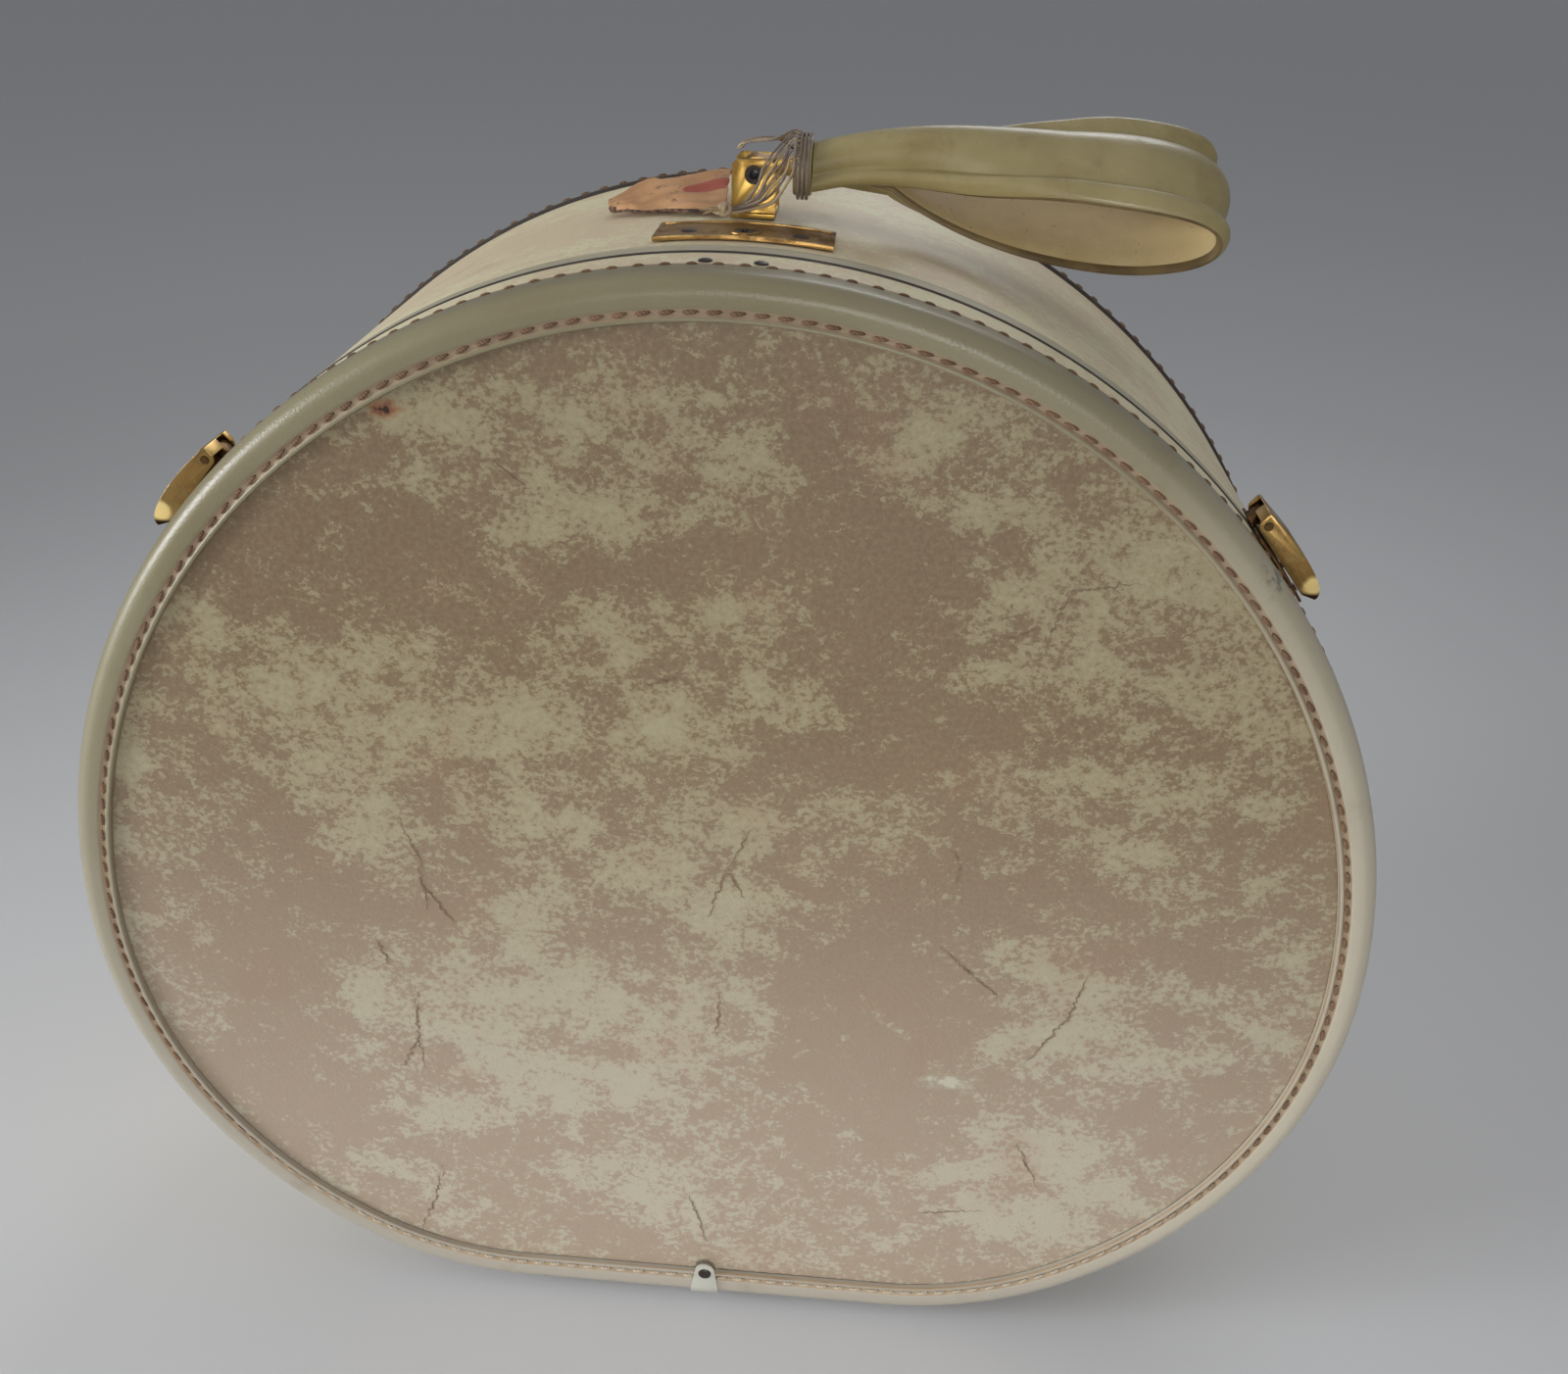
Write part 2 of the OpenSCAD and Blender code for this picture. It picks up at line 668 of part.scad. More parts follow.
// The strap is one moulded band bent into a flat loop: out over the top, round the tip and back below
strap_x0 = ferrule_x + ferrule_len + 0.3;
strap_under = 2;
strap_over = strap_t - strap_under;
fork = 0.3 + strap_under;
loop_up = 9;
loop_down = -15;
tuck_z = -1.6;
tip_x = strap_reach - strap_over;
run = tip_x - strap_x0;
tip = [tip_x, (loop_up + loop_down) / 2];
over_end = [strap_x0 + run * 0.62, loop_up];
under_start = [strap_x0 + run * 0.66, loop_down];
under_end = [strap_x0 + run * 0.2, tuck_z];
over_line = concat(
    bezier([strap_x0, neck_z + fork], [strap_x0 + run * 0.3, loop_up], over_end, 9),
    [for (p = bezier(over_end, [tip_x, loop_up], tip, 9)) if (p[0] > over_end[0] + 0.1) p]);
under_line = concat(
    [for (p = bezier(tip, [tip_x, loop_down], under_start, 9)) if (p[0] < tip_x - 0.01) p],
    [for (p = bezier(under_start, [strap_x0 + run * 0.36, loop_down], under_end, 7))
        if (p[0] < under_start[0] - 0.1) p],
    [[strap_x0 + run * 0.13, tuck_z * 0.6]]);
strap_line = concat(over_line, under_line);
// Section across the strap as [share of the half width, height]: bead, groove, crown, groove, bead, flat back
strap_section = [[-1, -0.5], [-1, 0.3], [-0.93, 0.45], [-0.82, 0.25], [-0.5, 0.8], [0, 1], [0.5, 0.8],
    [0.82, 0.25], [0.93, 0.45], [1, 0.3], [1, -0.5], [0.5, -1], [-0.5, -1]];
function smooth(t) = let (c = max(0, min(1, t))) c * c * (3 - 2 * c);
function way(x) = (x - strap_x0) / run;
function is_over(i) = i < len(over_line);
function strap_w(i, x) = let (start = is_over(i) ? strap_neck_w : strap_end_w)
    start + (strap_tip_w - start) * smooth(way(x) / 0.85);
// The edges curl down round the neck and flatten out before the tip
function edge_curl(i, x) = max(1, is_over(i) ? strap_curl * (1 - smooth(way(x) / 0.8)) : 0);
function strap_twist(x) = strap_twist_angle * (0.4 + 0.6 * smooth(way(x) / 0.45));
module handle_strap() {
    last = len(strap_line) - 1;
    m = len(strap_section);
    rings = [for (i = [0:last])
        let (p = strap_line[i],
            d = i == 0 ? [1, 0] : i == last ? [-1, 0] : strap_line[i + 1] - strap_line[i - 1],
            out = [-d[1], d[0]] / norm(d),
            curl = edge_curl(i, p[0]),
            curl_r = strap_w(i, p[0]) / 2 / (curl * PI / 180),
            twist = strap_twist(p[0]))
        [for (q = strap_section)
            let (h = curl_r + (q[1] > 0 ? q[1] * strap_over : q[1] * strap_under),
                lift = h * cos(q[0] * curl) - curl_r,
                x = p[0] + out[0] * lift,
                y = h * sin(q[0] * curl),
                z = p[1] + out[1] * lift - neck_z)
            [x, y * cos(twist) - z * sin(twist), neck_z + y * sin(twist) + z * cos(twist)]]];
    walls = [for (i = [0:last - 1]) for (s = [0:m - 1]) for (half = [0, 1])
        let (a = i * m + s, b = i * m + (s + 1) % m)
        half == 0 ? [a, a + m, b + m] : [a, b + m, b]];
    caps = [for (s = [1:m - 2]) for (end = [0, 1])
        end == 0 ? [0, s, s + 1] : [last * m, last * m + s + 1, last * m + s]];
    color(cream) at_pin() polyhedron([for (ring = rings) for (p = ring) p], concat(walls, caps));
}

// Torn tag lying on the crown, as corners from the post, with a near corner that curls up
tag_front = [[-50, 6], [-9, -11]];
tag_rear = [[-54, 28], [-12, 34]];
function crown_z(x) = sqrt(crown_r * crown_r - x * x) - crown_r;
function tag_point(u, v) = let (f = tag_front[0] * (1 - u) + tag_front[1] * u,
        b = tag_rear[0] * (1 - u) + tag_rear[1] * u, p = f * (1 - v) + b * v)
    [p[0], p[1], crown_z(p[0]) + 2 * seat + tag_lift * (0.5 + 0.5 * u) * v];

// String wound round the ferrule, ending in a short tail that points at the tag
winding_x = ferrule_x + 0.9 + string_turns * string_pitch;
tail_out = 12.4;
winding_line = concat(
    [for (i = [0:24 * string_turns]) let (t = i / 24, r = winding_r)
        [winding_x - string_pitch * t, -r * sin(360 * t), neck_z + r * cos(360 * t)]],
    [for (i = [1:6]) let (t = string_turns + i / 24, r = winding_r + (tail_out - winding_r) * smooth(i / 6))
        [winding_x - string_pitch * t, -r * sin(360 * t - 360 * string_turns),
            neck_z + r * cos(360 * t - 360 * string_turns)]]);
tail = winding_line[len(winding_line) - 1];
tail_dir = [-0.5, 0, -0.866];
winding_path = concat(winding_line, [tail + string_d * tail_dir, tail + 2 * string_d * tail_dir]);
winding_gap = min([for (i = [0:len(winding_path) - 1]) for (j = [i + 13:1:len(winding_path) - 1])
    norm(winding_path[i] - winding_path[j])]) - string_d;
echo(winding_gap = winding_gap);
module string_winding() {
    color("wheat") at_pin() tube(winding_path, string_r, 6, [1, 0, 0]);
}
// From the tail across the post to a tie on the tag, in points from the pin
string_start = tail + (2 * string_d + 0.3) * tail_dir;
tie = tag_point(0.9, 0.06) + [0, 0, tag_t + string_r + 0.1 - pin_h];
string_route = [string_start, string_start + 1.5 * tail_dir, [7, -12.4, -7.5], [2, -13.4, -9.4],
    [-4, -15.6, -10.7], [-8.5, -17, -11.3], [-12, -15, -11.2], tie + [-0.3, -2, 0.4], tie];
module tag_string() {
    color("wheat") at_pin() tube(string_route, string_r, 8, [0, 1, 0]);
}

tag_n = 6;
module luggage_tag() {
    n = tag_n + 1;
    low = [for (i = [0:tag_n]) for (j = [0:tag_n]) tag_point(i / tag_n, j / tag_n)];
    points = concat(low, [for (p = low) p + [0, 0, tag_t]]);
    sheet = [for (i = [0:tag_n - 1]) for (j = [0:tag_n - 1]) for (k = [0:3])
        let (a = i * n + j, b = a + n, c = b + 1, d = a + 1, top = n * n)
        k == 0 ? [a, b, c] : k == 1 ? [a, c, d] : k == 2 ? [top + a, top + c, top + b]
            : [top + a, top + d, top + c]];
    edge = concat([for (i = [0:tag_n - 1]) i * n], [for (j = [0:tag_n - 1]) tag_n * n + j],
        [for (i = [tag_n:-1:1]) i * n + tag_n], [for (j = [tag_n:-1:1]) j]);
    rim = [for (e = [0:len(edge) - 1]) for (k = [0, 1])
        let (a = edge[e], b = edge[(e + 1) % len(edge)], top = n * n)
        k == 0 ? [a, top + a, top + b] : [a, top + b, b]];
    color("peachpuff") translate([0, post_y, z_top]) polyhedron(points, concat(sheet, rim));
}

// Latches

base_y0 = y_mouth + 0.4;
base_y1 = y_mouth + 15;
strike_y0 = y_lid_end - 11;
strike_y1 = y_lid_end - 0.4;
plate_low = seat;
plate_high = 1.1;
latch_half_a = 13 / shoulder_r * 180 / PI;
latch_rivet_x = [-6, 10];
latch_rivet_y = y_mouth + 11;
strike_rivet_y = strike_y0 + 5;
module latch_bores() {
    for (side = [0, 1]) mirror([side, 0, 0]) on_shoulder() for (x = latch_rivet_x)
        translate([x, latch_rivet_y, -10]) cylinder(r = 1.1, h = 20);
}
module strike_bores() {
    for (side = [0, 1]) mirror([side, 0, 0]) on_shoulder() for (x = latch_rivet_x)
        translate([x, strike_rivet_y, -10]) cylinder(r = 1.1, h = 20);
}
module latch_base() {
    color(brass) difference() {
        union() {
            patch(shoulder_c, shoulder_r, plate_low, plate_high, latch_angle - latch_half_a,
                latch_angle + latch_half_a, base_y0, base_y1);
            on_shoulder() translate([lever_pin_x, latch_lug_y, 0]) {
                translate([-lug_half, 0, plate_low]) cube([2 * lug_half, lug_w, latch_pin_h - plate_low]);
                translate([0, lug_w, latch_pin_h]) rotate([90, 0, 0]) cylinder(r = lug_half, h = lug_w);
            }
        }
        on_shoulder() translate([lever_pin_x, latch_lug_y - 1, latch_pin_h]) rotate([-90, 0, 0])
            cylinder(r = latch_pin_r + 0.03, h = lug_w + 2);
        latch_bores();
    }
}
module latch_pin() {
    color("darkgoldenrod") on_shoulder() translate([lever_pin_x, lever_y - 0.3, latch_pin_h])
        rotate([-90, 0, 0]) cylinder(r = latch_pin_r, h = lever_w + 0.6);
}
// Hooded lever: a humped channel with a tab above its pin and a finger opening at its lower end
module latch_lever() {
    top_x = -lever_len / 2;
    end_x = lever_len / 2;
    hood = lever_h - lever_t;
    pin_round = latch_pin_h - lever_low + 0.1;
    color(brass) on_shoulder() translate([0, lever_y + lever_w, 0]) difference() {
        rotate([90, 0, 0]) linear_extrude(lever_w) polygon(concat(
            [[end_x - 4, lever_low]],
            [for (i = [0:6]) [lever_pin_x - pin_round * sin(i * 15), latch_pin_h - pin_round * cos(i * 15)]],
            [[top_x, lever_h - 2.6], [top_x, lever_h - 1.9], [top_x + 0.6, lever_h - 1.5]],
            bezier([lever_pin_x, lever_h - 1.3], [-4, lever_h + 0.1], [3, lever_h], 5),
            bezier([6, lever_h - 0.1], [end_x, lever_h - 0.6], [end_x, lever_low + 2.6], 7)));
        // Hollow under the hood, open below
        translate([0, -lever_t, 0]) rotate([90, 0, 0]) linear_extrude(lever_w - 2 * lever_t) polygon(concat(
            [[end_x + 3, -1], [lever_pin_x - 2.6, -1], [lever_pin_x - 2.6, hood - 1.3]],
            bezier([lever_pin_x + 1, hood - 1.2], [-4, hood + 0.1], [3, hood], 5),
            bezier([6, hood - 0.1], [end_x - lever_t, hood - 0.8], [end_x - lever_t, lever_low + 3], 5),
            [[end_x + 3, lever_low + 3]]));
        // Notch that clears the lug as the lever lifts
        translate([top_x - 3, latch_lug_y - 0.4 - lever_y - lever_w, -2])
            cube([lever_pin_x - top_x + 5, lug_w + 0.8, hood - 0.9 + 2]);
        translate([lever_pin_x, 1, latch_pin_h]) rotate([90, 0, 0])
            cylinder(r = latch_pin_r + 0.08, h = lever_w + 2);
    }
}
module latch_strike() {
    color(brass) difference() {
        patch(shoulder_c, shoulder_r, plate_low, plate_high, latch_angle - latch_half_a,
            latch_angle + latch_half_a, strike_y0, strike_y1);
        strike_bores();
    }
}
module flush_rivet() {
    rivet(1.8, 0.3, 1, hoop_t + 2);
}
module latch_rivets() {
    color("darkgoldenrod") for (side = [0, 1]) mirror([side, 0, 0]) on_shoulder() for (x = latch_rivet_x)
        translate([x, latch_rivet_y, plate_high + 0.02]) flush_rivet();
}
module strike_rivets() {
    color("darkgoldenrod") for (side = [0, 1]) mirror([side, 0, 0]) on_shoulder() for (x = latch_rivet_x)
        translate([x, strike_rivet_y, plate_high + 0.02]) flush_rivet();
}

// Hinges

leaf_top = foot_h - seat;
knuckle_gap = 0.3;
knuckle_third = hinge_len / 3;
knuckle_len = knuckle_third - knuckle_gap;
hinge_rivet_y = leaf_reach - 4;
module hinge_bores(dir) {
    for (side = [-1, 1]) for (x = [-hinge_len / 3, hinge_len / 3])
        translate([side * hinge_x + x, y_seam + dir * hinge_rivet_y, 0])
            cylinder(r = 1.1, h = foot_h - hoop_in + 2);
}
module hinge_body_bores() {
    hinge_bores(1);
}
module hinge_lid_bores() {
    hinge_bores(-1);
}
// A leaf under the bottom with its knuckles on the seam, dir 1 on the body and -1 on the lid
module hinge_leaf(x0, dir, knuckles) {
    strap_y = knuckle_r + knuckle_gap;
    neck_t = min(leaf_t, hinge_z + knuckle_r - leaf_top + leaf_t);
    color(brass) difference() {
        union() {
            translate([x0 - hinge_len / 2, y_seam + (dir > 0 ? strap_y : -leaf_reach), leaf_top - leaf_t])
                cube([hinge_len, leaf_reach - strap_y, leaf_t]);
            for (k = knuckles)
                translate([x0 + (k - 0.5) * knuckle_third + knuckle_gap / 2, y_seam, hinge_z]) {
                    rotate([0, 90, 0]) cylinder(r = knuckle_r, h = knuckle_len);
                    translate([0, dir > 0 ? 0 : -strap_y - 1, leaf_top - leaf_t - hinge_z])
                        cube([knuckle_len, strap_y + 1, neck_t]);
                }
        }
        translate([x0 - hinge_len, y_seam, hinge_z]) rotate([0, 90, 0])
            cylinder(r = hinge_pin_r + 0.05, h = 2 * hinge_len);
        hinge_bores(dir);
    }
}
module hinge_pin(x0) {
    color("darkgoldenrod") translate([x0 - hinge_len / 2 - 0.5, y_seam, hinge_z]) rotate([0, 90, 0])
        cylinder(r = hinge_pin_r, h = hinge_len + 1);
}
module hinge_rivets(dir) {
    color("darkgoldenrod") for (side = [-1, 1]) for (x = [-hinge_len / 3, hinge_len / 3])
        translate([side * hinge_x + x, y_seam + dir * hinge_rivet_y, leaf_top - leaf_t - 0.02])
            mirror([0, 0, 1]) rivet(1.9, 0.7, 1, leaf_t + hoop_t + 1);
}

// Lid

module lid_hoop() {
    color("burlywood") difference() {
        hoop(hoop_out, hoop_in, y_front + face_stack + seat, y_lid_end);
        hasp_rivet_bores();
        strike_bores();
        hinge_lid_bores();
    }
}
module lid_cover() {
    color(vinyl) difference() {
        hoop(cover_out, cover_in, y_front + lid_wrap + seat, y_lid_end);
        hasp_rivet_bores();
        strike_bores();
        hinge_lid_bores();
    }
}
module lid_panel() {
    color(vinyl) across(y_front + panel_sink + seat, y_front + face_stack) polygon(oval(panel_edge - seat));
}
module lid_binding() {
    color(cream) difference() {
        swept_hoop([for (q = binding_section(lid_wrap)) [q[0], y_front + q[1]]]);
        at_front() clip_rivet_bore();
    }
}
module lid_lining() {
    color("rosybrown") difference() {
        hoop(hoop_in - seat, lining_in, y_front + face_stack + 2 * seat, y_seam - valance_reach - 1);
        lock_cut();
    }
}
module lid_panel_lining() {
    y0 = y_front + face_stack + seat;
    color("rosybrown") across(y0, y0 + lid_pad_t) polygon(oval(lining_in - 0.5));
}
module lid_clip() {
    color(cream) at_front() difference() {
        clip();
        clip_rivet_bore();
    }
}
module lid_clip_rivet() {
    color("dimgray") at_front() clip_rivet();
}

body_hoop();
body_cover();
mouth_trim();
valance();
back_panel();
back_binding();
back_clip();
back_clip_rivet();
body_lining();
back_lining();
feet();
lock_plate();
lock_rivets();
lock_case();
key_plug();
lock_bolt();
handle_post();
handle_post_rivets();
handle_pin();
handle_tongue();
handle_ferrule();
handle_strap();
string_winding();
tag_string();
luggage_tag();
mirror([1, 0, 0]) latch_base();  // latch_base_left
latch_base();  // latch_base_right
mirror([1, 0, 0]) latch_pin();  // latch_pin_left
latch_pin();  // latch_pin_right
mirror([1, 0, 0]) latch_lever();  // latch_lever_left
latch_lever();  // latch_lever_right
latch_rivets();
mirror([1, 0, 0]) latch_strike();  // latch_strike_left
latch_strike();  // latch_strike_right
strike_rivets();
hinge_leaf(-hinge_x, 1, [-1, 1]);  // hinge_body_leaf_left
hinge_leaf(hinge_x, 1, [-1, 1]);  // hinge_body_leaf_right
hinge_leaf(-hinge_x, -1, [0]);  // hinge_lid_leaf_left
hinge_leaf(hinge_x, -1, [0]);  // hinge_lid_leaf_right
hinge_pin(-hinge_x);  // hinge_pin_left
hinge_pin(hinge_x);  // hinge_pin_right
hinge_rivets(1);  // hinge_body_rivets
hinge_rivets(-1);  // hinge_lid_rivets
lid_hoop();
lid_cover();
lid_panel();
lid_binding();
lid_lining();
lid_panel_lining();
lid_clip();
lid_clip_rivet();
hasp();
hasp_rivets();
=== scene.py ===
import math
import random

import bpy
import numpy as np
from mathutils import Matrix, Vector


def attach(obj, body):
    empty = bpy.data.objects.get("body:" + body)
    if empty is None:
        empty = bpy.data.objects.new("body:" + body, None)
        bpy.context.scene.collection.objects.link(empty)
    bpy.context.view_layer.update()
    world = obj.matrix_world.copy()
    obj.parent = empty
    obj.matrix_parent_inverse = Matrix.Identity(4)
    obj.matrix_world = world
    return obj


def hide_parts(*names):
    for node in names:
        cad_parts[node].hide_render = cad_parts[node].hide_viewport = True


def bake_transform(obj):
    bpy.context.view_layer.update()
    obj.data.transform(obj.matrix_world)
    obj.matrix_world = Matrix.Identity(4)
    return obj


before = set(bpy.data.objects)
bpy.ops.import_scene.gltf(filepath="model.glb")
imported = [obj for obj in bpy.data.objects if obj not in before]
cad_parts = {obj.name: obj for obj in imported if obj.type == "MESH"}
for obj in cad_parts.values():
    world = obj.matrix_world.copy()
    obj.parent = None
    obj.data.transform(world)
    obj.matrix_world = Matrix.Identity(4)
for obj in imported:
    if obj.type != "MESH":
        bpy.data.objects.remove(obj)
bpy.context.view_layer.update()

# BOARD HOOPS
# Two hoops of pressed fibre board, steamed round a former and butt jointed under the bottom.
# They carry the lid and the body; only their raw edges and inner faces show when the case is open.


def paint(red, green, blue):
    """A colour as it looks on screen, 0 to 255, in the linear numbers that a shader takes."""
    parts = [c / 255 for c in (red, green, blue)]
    return (*[c / 12.92 if c <= 0.04045 else ((c + 0.055) / 1.055) ** 2.4 for c in parts], 1.0)


def shader(tree, kind, inputs=None, **settings):
    """A node in a material, with its settings, and its inputs set or wired."""
    node = tree.nodes.new("ShaderNode" + kind)
    for name, value in settings.items():
        setattr(node, name, value)
    for name, value in (inputs or {}).items():
        if isinstance(value, bpy.types.NodeSocket):
            tree.links.new(value, node.inputs[name])
        else:
            node.inputs[name].default_value = value
    return node


def over(tree, share, under, top):
    """One colour laid over another by a mask."""
    return shader(tree, "Mix", {0: share, 6: under, 7: top}, data_type="RGBA").outputs[2]


def sums(tree, kind, first, second):
    """Two values added, multiplied or compared."""
    return shader(tree, "Math", {0: first, 1: second}, operation=kind).outputs[0]


def fade(tree, value, low, high, to_low=0.0, to_high=1.0):
    """A value spread from one band to another, with soft ends."""
    inputs = {"Value": value, "From Min": low, "From Max": high, "To Min": to_low, "To Max": to_high}
    return shader(tree, "MapRange", inputs, interpolation_type="SMOOTHSTEP").outputs[0]


def noise(tree, vector, scale, detail=4.0, rough=0.55, twist=0.0):
    """Cloudy noise of a size, as a value about one half."""
    inputs = {"Vector": vector, "Scale": scale, "Detail": detail, "Roughness": rough, "Distortion": twist}
    return shader(tree, "TexNoise", inputs).outputs[0]


def measure(tree, here, axis):
    """One measure of a place on a piece: 0 across, 1 deep, 2 up."""
    return shader(tree, "SeparateXYZ", {0: here}).outputs[axis]


def new_finish(name, **sockets):
    """A fresh material, its place on the piece, and its shader with the plain values set."""
    finish = bpy.data.materials.new(name)
    finish.use_nodes = True
    tree = finish.node_tree
    skin = tree.nodes["Principled BSDF"]
    for socket, value in sockets.items():
        skin.inputs[socket.replace("_", " ")].default_value = value
    return finish, tree, skin, shader(tree, "TexCoord").outputs["Object"]


def raise_surface(tree, skin, height, depth):
    """Relief on a finish from a height, with its depth in metres."""
    bump = shader(tree, "Bump", {"Height": height, "Distance": depth, "Strength": 1.0})
    tree.links.new(bump.outputs[0], skin.inputs["Normal"])


def coat(tree, skin, **sockets):
    """Wires what changes over a surface into its shader."""
    for name, value in sockets.items():
        tree.links.new(value, skin.inputs[name.replace("_", " ")])


def dress(piece, *finishes):
    """Puts finishes on a piece in place of what it has."""
    if piece.data.materials:
        piece.data.materials.clear()
    for finish in finishes:
        piece.data.materials.append(finish)


pressed_board, tree, skin, here = new_finish("pressed_board", Roughness=0.85)
stretched = shader(tree, "Mapping", {"Vector": here, "Scale": (40, 900, 40)}).outputs[0]
fibres = noise(tree, stretched, 3.0, 5.0, 0.65)
raw = over(tree, fibres, paint(112, 84, 56), paint(158, 124, 86))
# Darker brown in a band along the seam edge of each hoop: partly dirt on the raw board, partly painted shade of the gap
# between lid and body.
seam_y = measure(tree, here, 1)
off_seam = shader(tree, "Math", {0: sums(tree, "ADD", seam_y, 0.064)}, operation="ABSOLUTE").outputs[0]
coat(tree, skin, Base_Color=over(tree, fade(tree, off_seam, 0.0022, 0.001), raw, paint(82, 64, 48)))
raise_surface(tree, skin, fibres, 0.0003)
for node in ("body_hoop", "lid_hoop"):
    dress(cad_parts[node], pressed_board)

# VINYL COVERS OF THE HOOPS
# Thin marbled vinyl, printed in tan with cream clouds, is drawn round the lid and body hoops and
# glued down. Round the sides it is paler and plainer than on the front.

OVAL_TOP, OVAL_BOTTOM, FLAT_HALF = 0.419, 0.005, 0.072
CROWN_R, HALF_WIDTH = 0.213, 0.2285
CROWN_END, CORNER_START = math.radians(31), math.radians(148)


def oval_arcs():
    """The tangent arcs of the oval's right half as centre, radius, first and last angle from the top."""
    height = OVAL_TOP - OVAL_BOTTOM
    sin_a, cos_a = math.sin(CROWN_END), math.cos(CROWN_END)
    sin_c, cos_c = math.sin(CORNER_START), math.cos(CORNER_START)
    shoulder_r = (HALF_WIDTH - CROWN_R * sin_a) / (1 - sin_a)
    fall = height - CROWN_R * (1 - cos_a) - shoulder_r * cos_a
    run = HALF_WIDTH - FLAT_HALF
    det = 1 + cos_c - sin_c
    side_r = (run * (1 + cos_c) - sin_c * fall) / det
    corner_r = ((1 - sin_c) * fall + cos_c * run) / det
    crown = (0.0, OVAL_TOP - CROWN_R)
    shoulder = (sin_a * (CROWN_R - shoulder_r), crown[1] + cos_a * (CROWN_R - shoulder_r))
    side = (HALF_WIDTH - side_r, shoulder[1])
    corner = (side[0] + sin_c * (side_r - corner_r), side[1] + cos_c * (side_r - corner_r))
    return [(crown, CROWN_R, 0.0, CROWN_END), (shoulder, shoulder_r, CROWN_END, math.pi / 2),
            (side, side_r, math.pi / 2, CORNER_START), (corner, corner_r, CORNER_START, math.pi)]


ARCS = oval_arcs()


def along_oval(off, count):
    """Even places round the oval from the top: x, z, and the angle that faces outward."""
    lengths = [(r + off) * (b - a) for _, r, a, b in ARCS]
    half = sum(lengths) + FLAT_HALF
    places = []
    for i in range(count):
        run = (i + 0.5) / count * 2 * half
        side = 1 if run < half else -1
        run = run if side > 0 else 2 * half - run
        for ((cx, cz), r, a, _), length in zip(ARCS, lengths):
            if run <= length:
                angle = a + run / (r + off)
                x, z = cx + (r + off) * math.sin(angle), cz + (r + off) * math.cos(angle)
                break
            run -= length
        else:
            x, z, angle = FLAT_HALF - run, OVAL_BOTTOM - off, math.pi
        places.append((side * x, z, side * angle))
    return places


def take(piece):
    """Makes a piece the only one in hand."""
    bpy.ops.object.select_all(action="DESELECT")
    piece.select_set(True)
    bpy.context.view_layer.objects.active = piece


def close_up(piece, merge=0.00001, crisp=35):
    """Merges a piece's seams, turns its faces outward, and smooths all but its crisp edges."""
    take(piece)
    bpy.ops.object.mode_set(mode="EDIT")
    bpy.ops.mesh.select_all(action="SELECT")
    bpy.ops.mesh.remove_doubles(threshold=merge)
    bpy.ops.mesh.normals_make_consistent(inside=False)
    bpy.ops.object.mode_set(mode="OBJECT")
    bpy.ops.object.shade_smooth_by_angle(angle=math.radians(crisp))


def apply_all(piece):
    """Applies a piece's modifiers in their order."""
    take(piece)
    for modifier in list(piece.modifiers):
        bpy.ops.object.modifier_apply(modifier=modifier.name)


def bend_round(name, section):
    """A closed section of offset and y, bent round the oval on its arcs and drawn along the flat."""
    bpy.ops.object.select_all(action="DESELECT")
    bpy.ops.mesh.primitive_circle_add(vertices=len(section), radius=0.01, fill_type="NOTHING")
    piece = bpy.context.object
    piece.name = piece.data.name = name
    for vert, (off, y) in zip(piece.data.vertices, section):
        vert.co = (0, y, OVAL_TOP + off)
    bpy.ops.object.mode_set(mode="EDIT")
    bpy.ops.mesh.select_all(action="SELECT")
    for (cx, cz), radius, first, last in ARCS:
        steps = max(12, int(radius * (last - first) / 0.0042))
        bpy.ops.mesh.spin(steps=steps, angle=last - first, center=(cx, 0, cz), axis=(0, -1, 0))
    flat_steps = 8
    for _ in range(flat_steps):
        bpy.ops.mesh.extrude_region_move(TRANSFORM_OT_translate={"value": (-FLAT_HALF / flat_steps, 0, 0)})
    bpy.ops.object.mode_set(mode="OBJECT")
    other = piece.modifiers.new("other half", "MIRROR")
    other.merge_threshold = 0.00001
    apply_all(piece)
    close_up(piece)
    return piece


def new_group(name, inputs, outputs):
    """An empty shader group with named sockets, and its two ends."""
    group = bpy.data.node_groups.new(name, "ShaderNodeTree")
    for socket, (kind, value) in inputs.items():
        made = group.interface.new_socket(socket, in_out="INPUT", socket_type="NodeSocket" + kind)
        if value is not None:
            made.default_value = value
    for socket in outputs:
        group.interface.new_socket(socket, in_out="OUTPUT", socket_type="NodeSocketFloat")
    return group, group.nodes.new("NodeGroupInput").outputs, group.nodes.new("NodeGroupOutput").inputs


def use_group(tree, group, **inputs):
    """A shader group placed in a material."""
    node = tree.nodes.new("ShaderNodeGroup")
    node.node_tree = group
    for name, value in inputs.items():
        if isinstance(value, bpy.types.NodeSocket):
            tree.links.new(value, node.inputs[name])
        else:
            node.inputs[name].default_value = value
    return node.outputs


# Printed clouds: broad drifts that lean to one side, with torn edges that break up into flecks
marbling, given, out = new_group(
    "marbling", {"Vector": ("Vector", None), "Drift": ("Float", 0.0), "Spread": ("Float", 1.0)}, ("Cream", "Depth"))
leaning = shader(marbling, "Mapping", {"Vector": given["Vector"], "Rotation": (0, math.radians(16), 0),
                                       "Scale": (0.92, 1.0, 1.12)}).outputs[0]
level = given["Drift"]
for size, detail, coarse, twist, weight in ((11.0, 3.0, 0.5, 0.4, given["Spread"]), (85.0, 5.0, 0.66, 0.2, 2.0),
                                            (480.0, 4.0, 0.7, 0.0, 2.3)):
    swing = sums(marbling, "SUBTRACT", noise(marbling, leaning, size, detail, coarse, twist), 0.5)
    level = sums(marbling, "ADD", level, sums(marbling, "MULTIPLY", swing, weight))
marbling.links.new(fade(marbling, level, -0.15, 0.2), out["Cream"])
